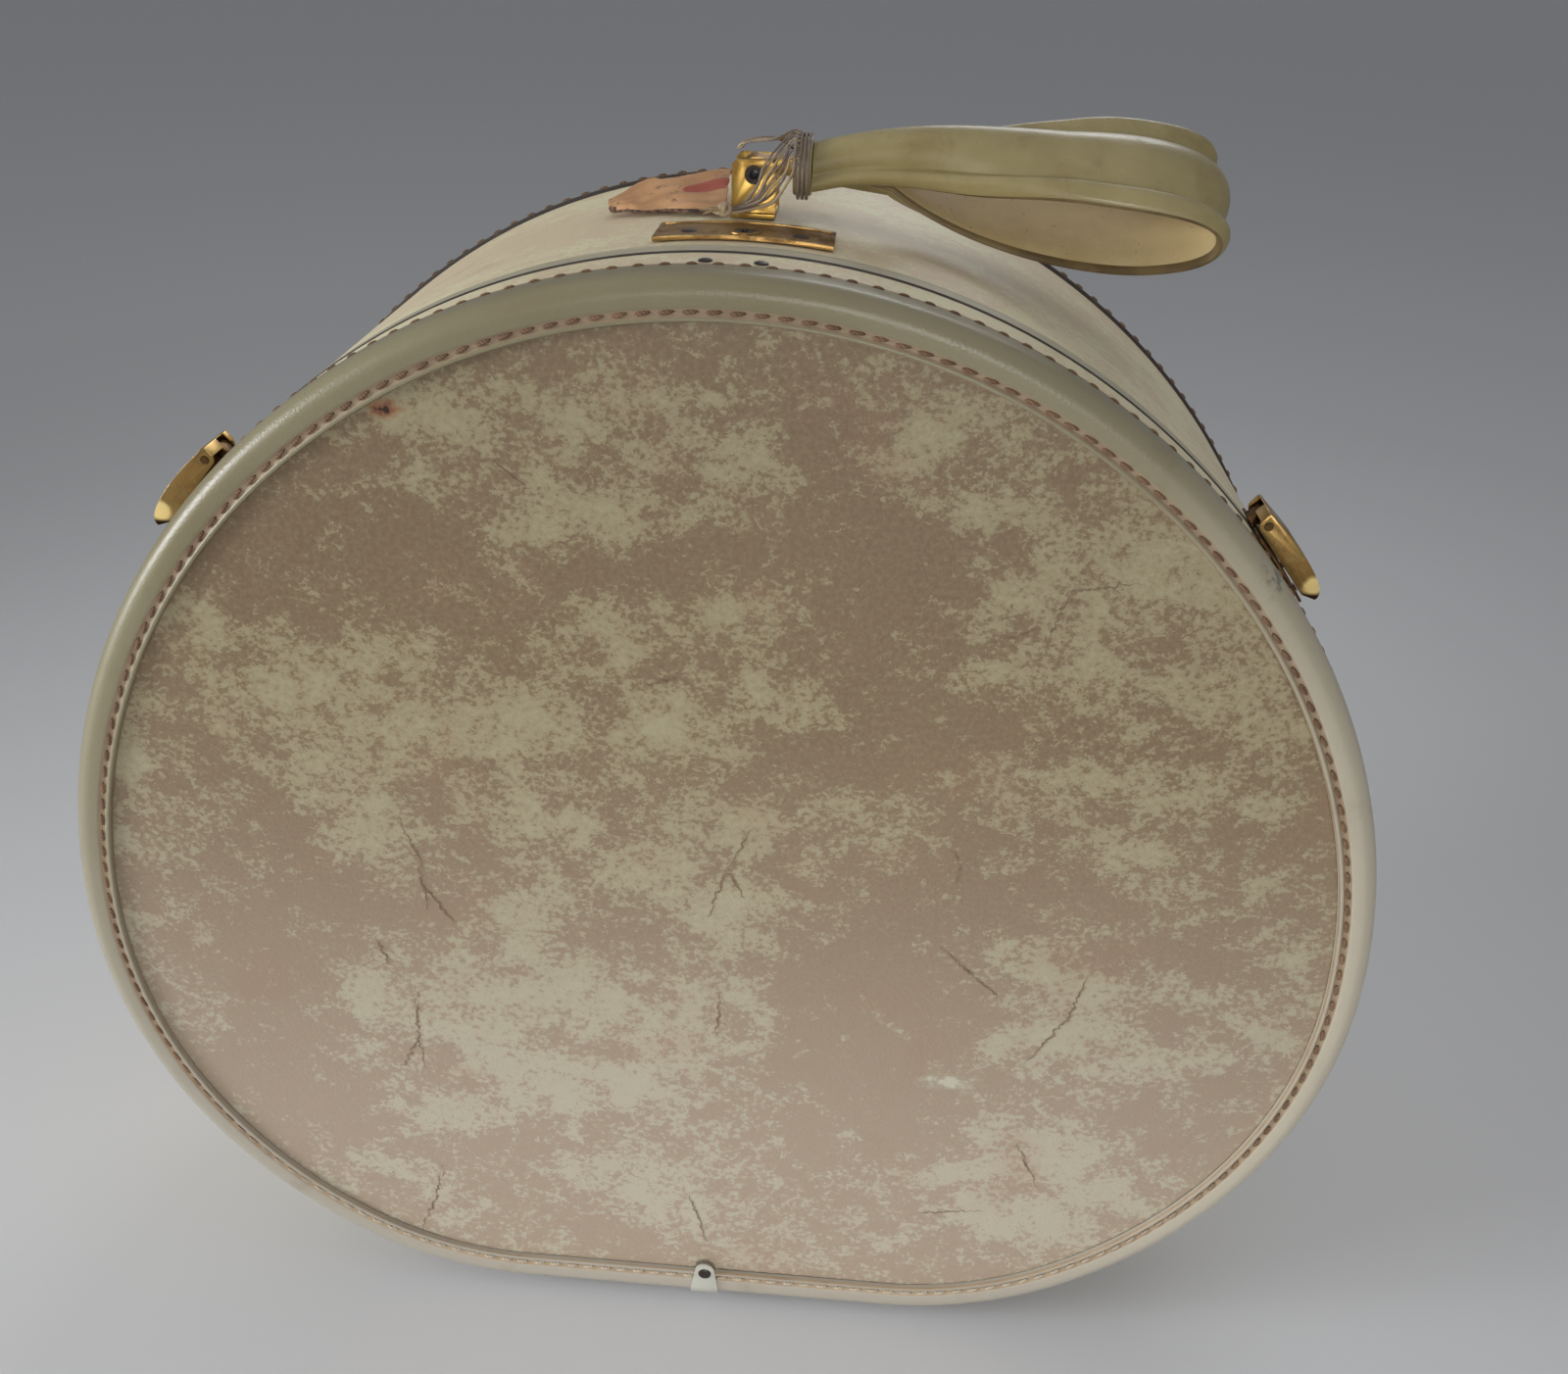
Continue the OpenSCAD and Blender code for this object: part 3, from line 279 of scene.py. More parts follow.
marbling.links.new(fade(marbling, level, 0.1, 0.8), out["Depth"])

# Fine grain pressed into soft plastics
grain, given, out = new_group("grain", {"Vector": ("Vector", None), "Scale": ("Float", 900.0)}, ("Height",))
pores = shader(grain, "TexVoronoi", {"Vector": given["Vector"], "Scale": given["Scale"]}, feature="SMOOTH_F1")
soft = noise(grain, given["Vector"], 160.0, 3.0)
grain.links.new(sums(grain, "ADD", pores.outputs[0], soft), out["Height"])

# Rubbed-in dirt, in drifts of a size
soiling, given, out = new_group(
    "soiling", {"Vector": ("Vector", None), "Scale": ("Float", 20.0), "Cover": ("Float", 0.3)}, ("Mask",))
drifts = noise(soiling, given["Vector"], given["Scale"], 7.0, 0.68, 0.5)
edge = sums(soiling, "SUBTRACT", 0.78, sums(soiling, "MULTIPLY", given["Cover"], 0.45))
over_edge = sums(soiling, "SUBTRACT", drifts, edge)
soiling.links.new(fade(soiling, over_edge, -0.12, 0.2), out["Mask"])


def press_grain(tree, skin, here, scale, depth):
    """The relief of pressed grain on a finish."""
    raise_surface(tree, skin, use_group(tree, grain, Vector=here, Scale=scale)["Height"], depth)


def soil(tree, here, scale, cover):
    """The mask of rubbed-in dirt on a finish."""
    return use_group(tree, soiling, Vector=here, Scale=scale, Cover=cover)["Mask"]


def tinge(tree, mask, strength, under, top):
    """One colour laid thinly over another by a mask."""
    return over(tree, sums(tree, "MULTIPLY", mask, strength), under, top)


CLOUD, PALE_CLOUD, BOTTOM_LIT_CLOUD = paint(148, 136, 105), paint(158, 149, 119), paint(174, 167, 149)
SIDE_TAN, SIDE_CLOUD = paint(218, 199, 166), paint(226, 217, 180)

side_vinyl, tree, skin, here = new_finish("side_vinyl", Roughness=0.52)
print_marks = use_group(tree, marbling, Vector=here, Drift=-0.06, Spread=2.6)
colour = over(tree, print_marks["Cream"], SIDE_TAN, SIDE_CLOUD)
dirt = soil(tree, here, 26.0, 0.35)
colour = tinge(tree, dirt, 0.3, colour, paint(132, 112, 88))
# A dark band along the back edge of the body cover, against the rear binding: painted shade under the binding's raised
# edge, partly dirt.
depth = measure(tree, here, 1)
coat(tree, skin, Base_Color=over(tree, fade(tree, depth, 0.0742, 0.0751, 0.0, 0.85), colour, paint(58, 50, 46)))
coat(tree, skin, Roughness=fade(tree, dirt, 0.0, 1.0, 0.46, 0.62))
press_grain(tree, skin, here, 1100.0, 0.00012)

for name, body, node, y0, y1 in (("body_vinyl", "case", "body_cover", -0.05345, 0.07635),
                                 ("lid_vinyl", "lid", "lid_cover", -0.07835, -0.0644)):
    outer, inner, rim = -0.000325, -0.001225, 0.0003
    cover = bend_round(name, [(outer, y0 + rim), *[(outer, y0 + (y1 - y0) * k / 6) for k in range(1, 6)],
                              (outer, y1 - rim), (outer - rim, y1), (inner, y1), (inner, y0), (outer - rim, y0)])
    dress(cover, side_vinyl)
    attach(cover, body)
    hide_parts(node)

# FRONT AND BACK BOARDS
# Oval boards covered with the same vinyl, drawn tight and turned over their edges under the binding.
# The front shows cream clouds on tan, a few printed veins, one burn at the upper left and a scuff.


def shape_sheet(name, columns, rows, place, mark=None):
    """A grid whose points go where place puts them and whose faces take the finish that mark gives.

    Both take shares across and along the grid.
    """
    bpy.ops.object.select_all(action="DESELECT")
    bpy.ops.mesh.primitive_grid_add(x_subdivisions=columns, y_subdivisions=rows, size=1)
    piece = bpy.context.object
    piece.name = piece.data.name = name
    for face in piece.data.polygons if mark else ():
        face.material_index = mark(face.center.x + 0.5, face.center.y + 0.5)
    for vert in piece.data.vertices:
        vert.co = place(vert.co.x + 0.5, vert.co.y + 0.5)
    return piece


OVAL_MIDDLE = 0.205
ring = along_oval(0.0, 1440)
ring_angles = np.unwrap([math.atan2(x, z - OVAL_MIDDLE) for x, z, _ in ring])
ring_reach = np.array([math.hypot(x, z - OVAL_MIDDLE) for x, z, _ in ring])


def oval_disc(u, v, off):
    """A place on the oval's face for a share across and a share up, all in even cells."""
    a, b = 2 * u - 1, 2 * v - 1
    x, z = a * math.sqrt(1 - b * b / 2), b * math.sqrt(1 - a * a / 2)
    reach = np.interp(math.atan2(x, z) % (2 * math.pi), ring_angles, ring_reach) + off
    return x * reach, OVAL_MIDDLE + z * reach


# Cream clouds on the front as x, height, half length, half width in millimetres, lean in degrees
CLOUDS = [
    (-85, 372, 22, 9, -8), (-40, 376, 32, 12, 4), (0, 366, 22, 11, -10), (-48, 352, 22, 13, -25),
    (-93, 352, 10, 5, 0), (-8, 350, 24, 7, 6), (-55, 340, 14, 9, 20), (4, 315, 22, 8, 10),
    (-38, 306, 14, 9, 0), (92, 328, 24, 12, 30), (125, 338, 34, 18, 28), (152, 332, 18, 18, 0),
    (118, 302, 20, 10, -20), (96, 300, 34, 6, 10), (160, 296, 22, 14, -10), (182, 280, 16, 14, 0),
    (110, 262, 30, 9, 8), (165, 258, 32, 11, 0), (142, 232, 26, 14, -25), (185, 222, 24, 12, 8),
    (196, 200, 14, 14, 0), (160, 176, 52, 6, 4), (112, 182, 20, 6, -20), (118, 152, 22, 11, 25),
    (168, 146, 26, 8, 12), (196, 170, 14, 22, 10), (126, 100, 28, 9, -18), (92, 82, 24, 4, 6),
    (150, 80, 22, 6, -30), (122, 58, 22, 7, 0), (-170, 294, 14, 18, 35), (-145, 276, 22, 17, -25),
    (-112, 264, 26, 14, -12), (-70, 266, 24, 13, 0), (-112, 292, 14, 9, 15), (-128, 240, 22, 14, -40),
    (-118, 222, 14, 16, 20), (-66, 232, 26, 12, -10), (-14, 268, 18, 10, 0), (8, 236, 18, 9, -30),
    (-20, 216, 22, 14, 20), (52, 240, 22, 14, 0), (26, 282, 20, 10, 0), (-206, 246, 12, 16, 30),
    (-208, 208, 12, 9, -10), (-68, 186, 18, 30, -8), (-52, 152, 44, 20, -6), (-8, 146, 28, 24, 0),
    (-52, 112, 36, 20, 8), (-40, 70, 26, 16, -10), (-78, 124, 14, 22, 0), (-128, 150, 15, 14, 0),
    (-98, 92, 22, 10, 15), (-18, 52, 22, 12, 0), (8, 152, 14, 22, 10), (2, 198, 14, 13, 0),
    (-12, 384, 30, 4, 2), (58, 372, 16, 7, 35), (80, 352, 14, 6, -15), (-126, 60, 20, 7, -22),
]
# Bare tan places that stay free of cloud, in the same terms
BARE = [(-95, 330, 34, 20, 0), (-150, 320, 30, 22, 40), (-40, 326, 18, 8, 0), (60, 330, 26, 18, 0),
        (-160, 160, 36, 40, 10), (-170, 110, 30, 26, 0), (58, 170, 36, 26, 0), (70, 120, 34, 30, 0),
        (40, 80, 34, 24, 0), (60, 290, 20, 14, 0), (105, 210, 34, 8, 5), (-110, 120, 14, 10, 0)]


def cloud_at(x, z):
    """How far a place on the front leans to cream, from about minus a half to a half."""
    level = -0.17
    for marks, push in ((CLOUDS, 0.45), (BARE, -0.2)):
        best = 0.0
        for cx, cz, length, width, lean in marks:
            turn = math.radians(lean)
            dx, dz = x * 1000 - cx, z * 1000 - cz
            along = (dx * math.cos(turn) + dz * math.sin(turn)) / length
            across = (dz * math.cos(turn) - dx * math.sin(turn)) / width
            best = max(best, math.exp(-0.75 * (along * along + across * across)))
        level += push * best
    return level


PANEL_EDGE = -0.00255


def face_along(sheet, outward):
    """Turns all faces of a sheet to one side: to the back of the case where outward is above nought."""
    take(sheet)
    bpy.ops.object.mode_set(mode="EDIT")
    bpy.ops.mesh.select_all(action="SELECT")
    bpy.ops.mesh.normals_make_consistent(inside=False)
    bpy.ops.object.mode_set(mode="OBJECT")
    if sheet.data.polygons[0].normal.y * outward < 0:
        bpy.ops.object.mode_set(mode="EDIT")
        bpy.ops.mesh.flip_normals()
        bpy.ops.object.mode_set(mode="OBJECT")


def covered_board(name, y_face, y_inside):
    """A covered oval board with a slight pull between its edges, closed to its thickness."""
    def place(u, v):
        x, z = oval_disc(u, v, PANEL_EDGE)
        edge = min(1.0, (1 - max(abs(2 * u - 1), abs(2 * v - 1))) * 6)
        ripple = math.sin(x * 31 + 1.3) * math.sin(z * 27 + 0.4) + 0.6 * math.sin(x * 67 - z * 53)
        sink = 0.00025 * (1 - edge) + 0.00012 * edge * (1 + ripple)
        return x, y_face + math.copysign(sink, y_inside - y_face), z
    board = shape_sheet(name, 110, 104, place)
    cloud = board.data.attributes.new("cloud", "FLOAT", "POINT")
    cloud.data.foreach_set("value", [cloud_at(v.co.x, v.co.z) for v in board.data.vertices])
    face_along(board, y_face - y_inside)
    wall = board.modifiers.new("thickness", "SOLIDIFY")
    wall.thickness = abs(y_inside - y_face)
    wall.offset = -1
    apply_all(board)
    bpy.ops.object.shade_smooth_by_angle(angle=math.radians(40))
    return board


def marbled_finish(name, marks):
    """The printed vinyl of a board, painted paler toward the bottom as painted light, with its own burn and scuff where
    marks is true.
    """
    finish, tree, skin, here = new_finish(name, Roughness=0.5)
    cloud = shader(tree, "Attribute", attribute_name="cloud").outputs["Fac"]
    prints = use_group(tree, marbling, Vector=here, Drift=cloud, Spread=1.1)
    # From here the ground and the cream are painted paler and pinker toward the bottom of the board: painted light.
    height = measure(tree, here, 2)
    low = fade(tree, height, 0.3, 0.07)
    ground = over(tree, noise(tree, here, 14.0, 5.0, 0.6), paint(113, 91, 66), paint(126, 106, 81))
    ground = over(tree, low, ground, paint(156, 139, 122))
    mottle = sums(tree, "MULTIPLY", fade(tree, noise(tree, here, 520.0, 4.0, 0.7), 0.4, 0.7), 0.38)
    ground = over(tree, mottle, ground, CLOUD)
    cream = tinge(tree, low, 0.85, over(tree, prints["Depth"], CLOUD, PALE_CLOUD), BOTTOM_LIT_CLOUD)
    colour = over(tree, prints["Cream"], ground, cream)
    rosy = fade(tree, noise(tree, here, 30.0, 4.0, 0.65), 0.54, 0.72)
    colour = tinge(tree, rosy, 0.16, colour, paint(152, 114, 92))
    rough = fade(tree, noise(tree, here, 90.0, 3.0), 0.3, 0.7, 0.42, 0.56)
    if marks:
        burn = (paint(150, 96, 56), paint(124, 62, 34), paint(48, 24, 14))
        scuff = (paint(158, 148, 128), paint(166, 158, 139), paint(178, 172, 156))
        for place, size, squash, torn, colours in (((-0.1015, 0, 0.3735), 0.0048, (0.75, 0, 1.2), 0.0072, burn),
                                                   ((0.0895, 0, 0.128), 0.0072, (0.5, 0, 1.5), 0.0187, scuff)):
            centred = shader(tree, "VectorMath", {0: here, 1: place}, operation="SUBTRACT").outputs[0]
            flat = shader(tree, "VectorMath", {0: centred, 1: squash}, operation="MULTIPLY").outputs[0]
            reach = shader(tree, "VectorMath", {0: flat}, operation="LENGTH").outputs["Value"]
            ragged = sums(tree, "ADD", reach, sums(tree, "MULTIPLY", sums(
                tree, "SUBTRACT", noise(tree, here, 300.0, 5.0, 0.7), 0.5), torn))
            for share, shade, strength in zip((1.0, 0.7, 0.4), colours, (0.5, 0.7, 1.0)):
                mask = fade(tree, ragged, size * share * 0.6, size * share, strength, 0.0)
                colour = over(tree, mask, colour, shade)
    coat(tree, skin, Base_Color=colour, Roughness=rough)
    press_grain(tree, skin, here, 1000.0, 0.00013)
    return finish


front_board = covered_board("front_board", -0.09245, -0.0891)
dress(front_board, marbled_finish("front_vinyl", True))
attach(front_board, "lid")
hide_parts("lid_panel")
back_board = covered_board("back_board", 0.09245, 0.0891)
dress(back_board, marbled_finish("back_vinyl", False))
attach(back_board, "case")
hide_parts("back_panel")

# Printed veins and creases on the front, as places along each line in millimetres
VEINS = [
    [(-110, 228), (-104, 213), (-102, 189)], [(-103, 201), (-93, 184)], [(13, 235), (4, 215), (-2, 195)],
    [(4, 215), (11, 205)], [(79, 233), (84, 225), (83, 216)], [(-123, 176), (-118, 163)],
    [(-109, 153), (-110, 134), (-109, 115)], [(-110, 129), (-117, 115)], [(-105, 64), (-109, 46), (-117, 26)],
    [(-8, 60), (-4, 48), (0, 34)], [(116, 140), (128, 162), (133, 181)], [(128, 333), (107, 329), (102, 307)],
    [(101, 275), (112, 276)], [(85, 309), (100, 316)], [(117, 100), (128, 78)], [(-54, 332), (-41, 338)],
    [(-70, 360), (-59, 351)], [(136, 312), (150, 320)], [(84, 60), (107, 63)], [(-23, 286), (-10, 291)],
    [(3, 163), (2, 140)], [(103, 169), (80, 190)],
]


def draw_vein(name, places, wander):
    """One thin ragged line on the front, widest in its middle and gone at its ends."""
    runs = [0.0]
    for a, b in zip(places, places[1:]):
        runs.append(runs[-1] + math.dist(a, b))
    steps = max(6, int(runs[-1] / 1.1))
    knots = [wander.uniform(-1, 1) for _ in range(3 * steps + 9)]

    def place(u, v):
        k = int(round(v * steps))
        at = v * runs[-1]
        x = np.interp(at, runs, [p[0] for p in places]) + 0.8 * knots[k]
        z = np.interp(at, runs, [p[1] for p in places]) + 0.8 * knots[steps + 1 + k]
        wide = 0.8 * math.sin(math.pi * min(0.98, max(0.02, v))) ** 0.6 * (1 + 0.6 * knots[2 * steps + 2 + k])
        a, b = places[0], places[-1]
        long = math.dist(a, b)
        side = (u - 0.5) * wide
        return ((x + side * (b[1] - a[1]) / long) / 1000, -0.09246 - 0.00004 * (1 - abs(2 * u - 1)),
                (z - side * (b[0] - a[0]) / long) / 1000)
    return shape_sheet(name, 2, steps, place)


def join_up(pieces, name):
    """Makes one piece of several, under one name."""
    take(pieces[0])
    for piece in pieces:
        piece.select_set(True)
    bpy.ops.object.join()
    pieces[0].name = pieces[0].data.name = name
    return pieces[0]


wander = random.Random(11)
veins = join_up([draw_vein("printed_vein", places, wander) for places in VEINS], "printed_veins")
close_up(veins, 0.000002, 60)
vein_ink, tree, skin, here = new_finish("vein_ink", Roughness=0.55)
worn = noise(tree, here, 240.0, 4.0, 0.7)
coat(tree, skin, Base_Color=over(tree, fade(tree, worn, 0.35, 0.65), paint(108, 86, 64), paint(136, 116, 92)))
dress(veins, vein_ink)
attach(veins, "lid")

# MOUTH TRIM
# A flat strip of cream vinyl glued round the mouth of the body, with a fine bead along its far edge.
# The lid closes against it, so that a dark line shows at the seam.

cream_vinyl, tree, skin, here = new_finish("cream_vinyl", Roughness=0.45)
dirt = soil(tree, here, 34.0, 0.3)
worn = soil(tree, here, 9.0, 0.55)
tone_under_dirt = over(tree, worn, paint(174, 166, 140), paint(184, 178, 154))
coat(tree, skin, Base_Color=tinge(tree, dirt, 0.45, tone_under_dirt, paint(110, 98, 70)))
coat(tree, skin, Roughness=fade(tree, dirt, 0.0, 1.0, 0.4, 0.58))
press_grain(tree, skin, here, 1300.0, 0.00007)

mouth_y = -0.0636
trim_line = [(-0.0004, 0.0), (-0.0002, 0.0005), (0.0, 0.0008), (0.0, 0.0013), (0.0, 0.0075), (-0.0003, 0.0078),
             (-0.0003, 0.0083), (0.0, 0.0086), (0.0, 0.0096), (-0.0003, 0.01), (-0.0012, 0.01), (-0.0012, 0.005),
             (-0.0012, 0.0)]
trim = bend_round("mouth_strip", [(off, mouth_y + y) for off, y in trim_line])
# Dark brown for the faces at the seam, on the mouth strip and on the bindings' seam edges: partly dirt packed into the
# seam, partly painted shade of the seam's gap.
seam_shade_and_dirt, tree, skin, here = new_finish("seam_shade_and_dirt", Roughness=0.7)
seam_mottle = soil(tree, here, 50.0, 0.4)
coat(tree, skin, Base_Color=over(tree, seam_mottle, paint(56, 47, 44), paint(86, 74, 66)))
dress(trim, cream_vinyl, seam_shade_and_dirt)
# The strip's faces at the seam take the dark seam finish: painted shade of the gap, with dirt.
for face in trim.data.polygons:
    face.material_index = int(mouth_y + 0.0001 < face.center.y < mouth_y + 0.0012)
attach(trim, "case")
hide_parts("mouth_trim")

# BINDINGS AND THEIR STITCHES
# Moulded cream vinyl bindings, folded over the edges of lid and back and sewn through with brown
# thread: one row beside the bead on the face, one along the free edge round the side.


BINDING_FACE = 0.0134


def binding_line(wrap, deep, lip):
    """Section of a binding as offset and depth from its face, from the inner edge over the round."""
    round_r, face = 0.006, BINDING_FACE
    line = [(-face + across, depth) for across, depth in (
        (0, 0.0024), (0, 0.0011), (0.0001, 0.0005), (0.0004, 0.0001), (0.0009, 0.0), (0.0014, 0.0002), (0.0017, 0.0006),
        (0.0021, 0.0009), (0.0032, 0.0009), (0.0037, 0.0006), (0.0041, 0.00025), (0.0047, 0.00012))]
    line += [(-round_r + round_r * math.sin(k * math.pi / 24), deep - deep * math.cos(k * math.pi / 24))
             for k in range(13)]
    line += [(0.0, wrap - 0.0031), (0.6 * lip - 0.0001, wrap - 0.0026), (lip - 0.0002, wrap - 0.0021),
             (lip - 0.0002, wrap - 0.0012), (lip - 0.0001, wrap - 0.0008), (lip - 0.0002, wrap - 0.0004),
             (0.8 * lip - 0.0006, wrap), (-0.0012, wrap), (-0.0012, 0.0059), (-0.0024, 0.0059), (-0.0024, 0.0024)]
    return line


def sew_row(name, off, y, facing, pitch, half, radius):
    """A row of stitches round the oval, standing out along y or outward from the oval."""
    def one_stitch(u, v):
        turn, t = 2 * math.pi * u, 2 * v - 1
        thick = radius * math.sqrt(max(0.0, 1 - abs(t) ** 3))
        return t * half, thick * math.cos(turn), thick * math.sin(turn) - 0.00035 * t * t
    stitch = shape_sheet(name, 6, 6, one_stitch)
    close_up(stitch, 0.00002, 60)
    pattern = stitch.data.copy()
    length = 2 * (sum((r + off) * (b - a) for _, r, a, b in ARCS) + FLAT_HALF)
    rows = []
    shaky = random.Random(name)
    for x, z, angle in along_oval(off, round(length / pitch)):
        thread = bpy.data.objects.new(name, pattern.copy())
        bpy.context.collection.objects.link(thread)
        turn = Matrix.Rotation(angle, 4, "Y")
        if facing:
            turn = turn @ Matrix.Rotation(facing * math.pi / 2, 4, "X")
        lean = Matrix.Rotation(math.radians(shaky.uniform(3, 9)), 4, "Z")
        thread.data.transform(Matrix.Translation((x, y, z)) @ turn @ lean)
        rows.append(thread)
    bpy.data.objects.remove(stitch)
    return join_up(rows, name)


brown_thread, tree, skin, here = new_finish("brown_thread", Roughness=0.8)
faded = noise(tree, here, 22.0, 4.0, 0.6)
thread = over(tree, fade(tree, faded, 0.35, 0.7), paint(106, 78, 58), paint(134, 104, 78))
height = measure(tree, here, 2)
thread = over(tree, fade(tree, height, 0.12, 0.03), thread, paint(176, 164, 144))
coat(tree, skin, Base_Color=thread)
twist = shader(tree, "TexWave", {"Vector": here, "Scale": 420.0, "Distortion": 1.0}, bands_direction="DIAGONAL")
raise_surface(tree, skin, twist.outputs[1], 0.0002)

edge_binding, tree, skin, here = new_finish("edge_binding", Roughness=0.4)
dirt = soil(tree, here, 30.0, 0.3)
tint = noise(tree, here, 7.0, 3.0)
tone_under_dirt = over(tree, fade(tree, tint, 0.35, 0.65), paint(131, 122, 93), paint(141, 134, 107))
# The binding is painted paler toward the bottom and toward the right side: painted light.
split = shader(tree, "SeparateXYZ", {0: here})
tone_under_dirt = over(tree, fade(tree, split.outputs[2], 0.3, 0.05), tone_under_dirt, paint(160, 153, 140))
tone_under_dirt = over(tree, fade(tree, split.outputs[0], 0.1, 0.23), tone_under_dirt, paint(178, 170, 152))
soiled = tinge(tree, dirt, 0.4, tone_under_dirt, paint(112, 100, 70))
smudge = shader(tree, "VectorMath", {0: here, 1: (0.1695, -0.09, 0.3385)}, operation="DISTANCE").outputs["Value"]
rub_and_glint = sums(tree, "MULTIPLY", fade(tree, smudge, 0.011, 0.002),
              fade(tree, noise(tree, here, 330.0, 4.0, 0.7), 0.5, 0.62))
coat(tree, skin, Base_Color=tinge(tree, rub_and_glint, 0.75, soiled, paint(84, 82, 80)))
coat(tree, skin, Roughness=fade(tree, dirt, 0.0, 1.0, 0.36, 0.55))
press_grain(tree, skin, here, 1300.0, 0.00007)

sewn_band, tree, skin, here = new_finish("sewn_band", Roughness=0.55)
dirt = soil(tree, here, 60.0, 0.5)
coat(tree, skin, Base_Color=over(tree, dirt, paint(156, 137, 111), paint(136, 113, 90)))
raise_surface(tree, skin, dirt, 0.00006)

for name, body, node, wrap, deep, lip, face_y, inward in (
        ("front_binding", "lid", "lid_binding", 0.0165, 0.0065, 0.0, -0.095, 1),
        ("rear_binding", "case", "back_binding", 0.0185, 0.013, 0.0011, 0.095, -1)):
    binding = bend_round(name, [(off, face_y + inward * d) for off, d in binding_line(wrap, deep, lip)])
    dress(binding, edge_binding, sewn_band, seam_shade_and_dirt)
    for face in binding.data.polygons:
        x, y, z = face.center
        depth = inward * (y - face_y)
        rise = z - OVAL_MIDDLE
        inside = np.interp(math.atan2(x, rise) % (2 * math.pi), ring_angles, ring_reach) - math.hypot(x, rise)
        grooved = 0.0003 < depth < 0.00095 and inside > 0.0085
        # Index 2, the dark seam finish on the binding's free edge, is painted shade of the gap there, partly dirt.
        face.material_index = 2 if depth > wrap - 0.0003 else int(grooved or wrap - 0.0029 < depth < wrap - 0.0009)
    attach(binding, body)
    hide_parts(node)
    face_row = sew_row(name + "_face_stitches", -BINDING_FACE + 0.00285, face_y + inward * 0.0006, inward,
                       0.0068, 0.0026, 0.00066)
    side_row = sew_row(name + "_side_stitches", lip + 0.0001, face_y + inward * (wrap - 0.00165), 0,
                       0.0078, 0.002, 0.00045)
    for row in (face_row, side_row):
        dress(row, brown_thread)
        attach(row, body)

# JOINT TABS
# An off-white metal tab covers the joint of each binding at the bottom; it is folded under the edge
# and held by one dark rivet.


def ease(node, width, name, crisp=38):
    """A copy of a fitting's solid with its sharp edges rounded over, as pressed metal has them."""
    bpy.ops.object.select_all(action="DESELECT")
    piece = bpy.data.objects.new(name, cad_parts[node].data.copy())
    bpy.context.collection.objects.link(piece)
    take(piece)
    bpy.ops.object.mode_set(mode="EDIT")
    bpy.ops.mesh.select_all(action="SELECT")
    bpy.ops.mesh.remove_doubles(threshold=0.000004)
    bpy.ops.mesh.dissolve_limited(angle_limit=math.radians(1.5))
    bpy.ops.object.mode_set(mode="OBJECT")
    rounder = piece.modifiers.new("eased edges", "BEVEL")
    rounder.width = width
    rounder.segments = 3
    rounder.limit_method = "ANGLE"
    rounder.angle_limit = math.radians(crisp)
    apply_all(piece)
    take(piece)
    bpy.ops.object.shade_smooth_by_angle(angle=math.radians(crisp + 4))
    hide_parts(node)
    return piece


tab_enamel, tree, skin, here = new_finish("tab_enamel", Roughness=0.35)
dirt = soil(tree, here, 160.0, 0.3)
coat(tree, skin, Base_Color=tinge(tree, dirt, 0.6, paint(172, 171, 160), paint(122, 112, 92)))
raise_surface(tree, skin, dirt, 0.00005)

dark_rivet, tree, skin, here = new_finish("dark_rivet", Metallic=0.5, Roughness=0.5)
rust = soil(tree, here, 420.0, 0.55)
coat(tree, skin, Base_Color=over(tree, rust, paint(48, 40, 38), paint(70, 56, 46)))
coat(tree, skin, Roughness=fade(tree, rust, 0.0, 1.0, 0.35, 0.7))
raise_surface(tree, skin, rust, 0.00005)

for node, body in (("lid_clip", "lid"), ("back_clip", "case")):
    tab = ease(node, 0.0002, node.replace("clip", "joint_tab"))
    dress(tab, tab_enamel)
    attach(tab, body)
for node in ("lid_clip_rivet", "back_clip_rivet", "hasp_rivets"):
    dress(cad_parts[node], dark_rivet)

# INNER LIP
# A thin rolled strip of aluminium stands out of the body's mouth, and the lid closes over it.
# Years of use have dulled it and rubbed its free edge bright.

lip_metal, tree, skin, here = new_finish("lip_metal", Metallic=0.9, Roughness=0.4)
drawn = shader(tree, "Mapping", {"Vector": here, "Scale": (20, 1500, 20)}).outputs[0]
lines = noise(tree, drawn, 2.0, 3.0, 0.6)
dull = soil(tree, here, 40.0, 0.5)
coat(tree, skin, Base_Color=over(tree, dull, paint(188, 184, 176), paint(140, 134, 124)))
coat(tree, skin, Roughness=fade(tree, dull, 0.0, 1.0, 0.3, 0.55))
raise_surface(tree, skin, lines, 0.00005)
dress(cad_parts["valance"], lip_metal)

# LININGS
# Champagne satin: gathered strips glued round the walls of lid and body, and quilted pads, cotton
# under satin, sewn in diamonds and pressed against the front and back boards.

satin, tree, skin, here = new_finish("satin", Roughness=0.42, Sheen_Weight=0.35)
threads = shader(tree, "TexWave", {"Vector": here, "Scale": 700.0}, bands_direction="X").outputs[1]
crossed = shader(tree, "TexWave", {"Vector": here, "Scale": 700.0}, bands_direction="Z").outputs[1]
weave = sums(tree, "MAXIMUM", threads, crossed)
tint = noise(tree, here, 9.0, 4.0, 0.6)
stain = soil(tree, here, 12.0, 0.35)
cloth = over(tree, tint, paint(188, 160, 134), paint(204, 180, 154))
coat(tree, skin, Base_Color=tinge(tree, stain, 0.4, cloth, paint(150, 116, 86)))
coat(tree, skin, Roughness=fade(tree, tint, 0.3, 0.7, 0.36, 0.5))
raise_surface(tree, skin, weave, 0.00006)


WALL_INSIDE = -0.0065


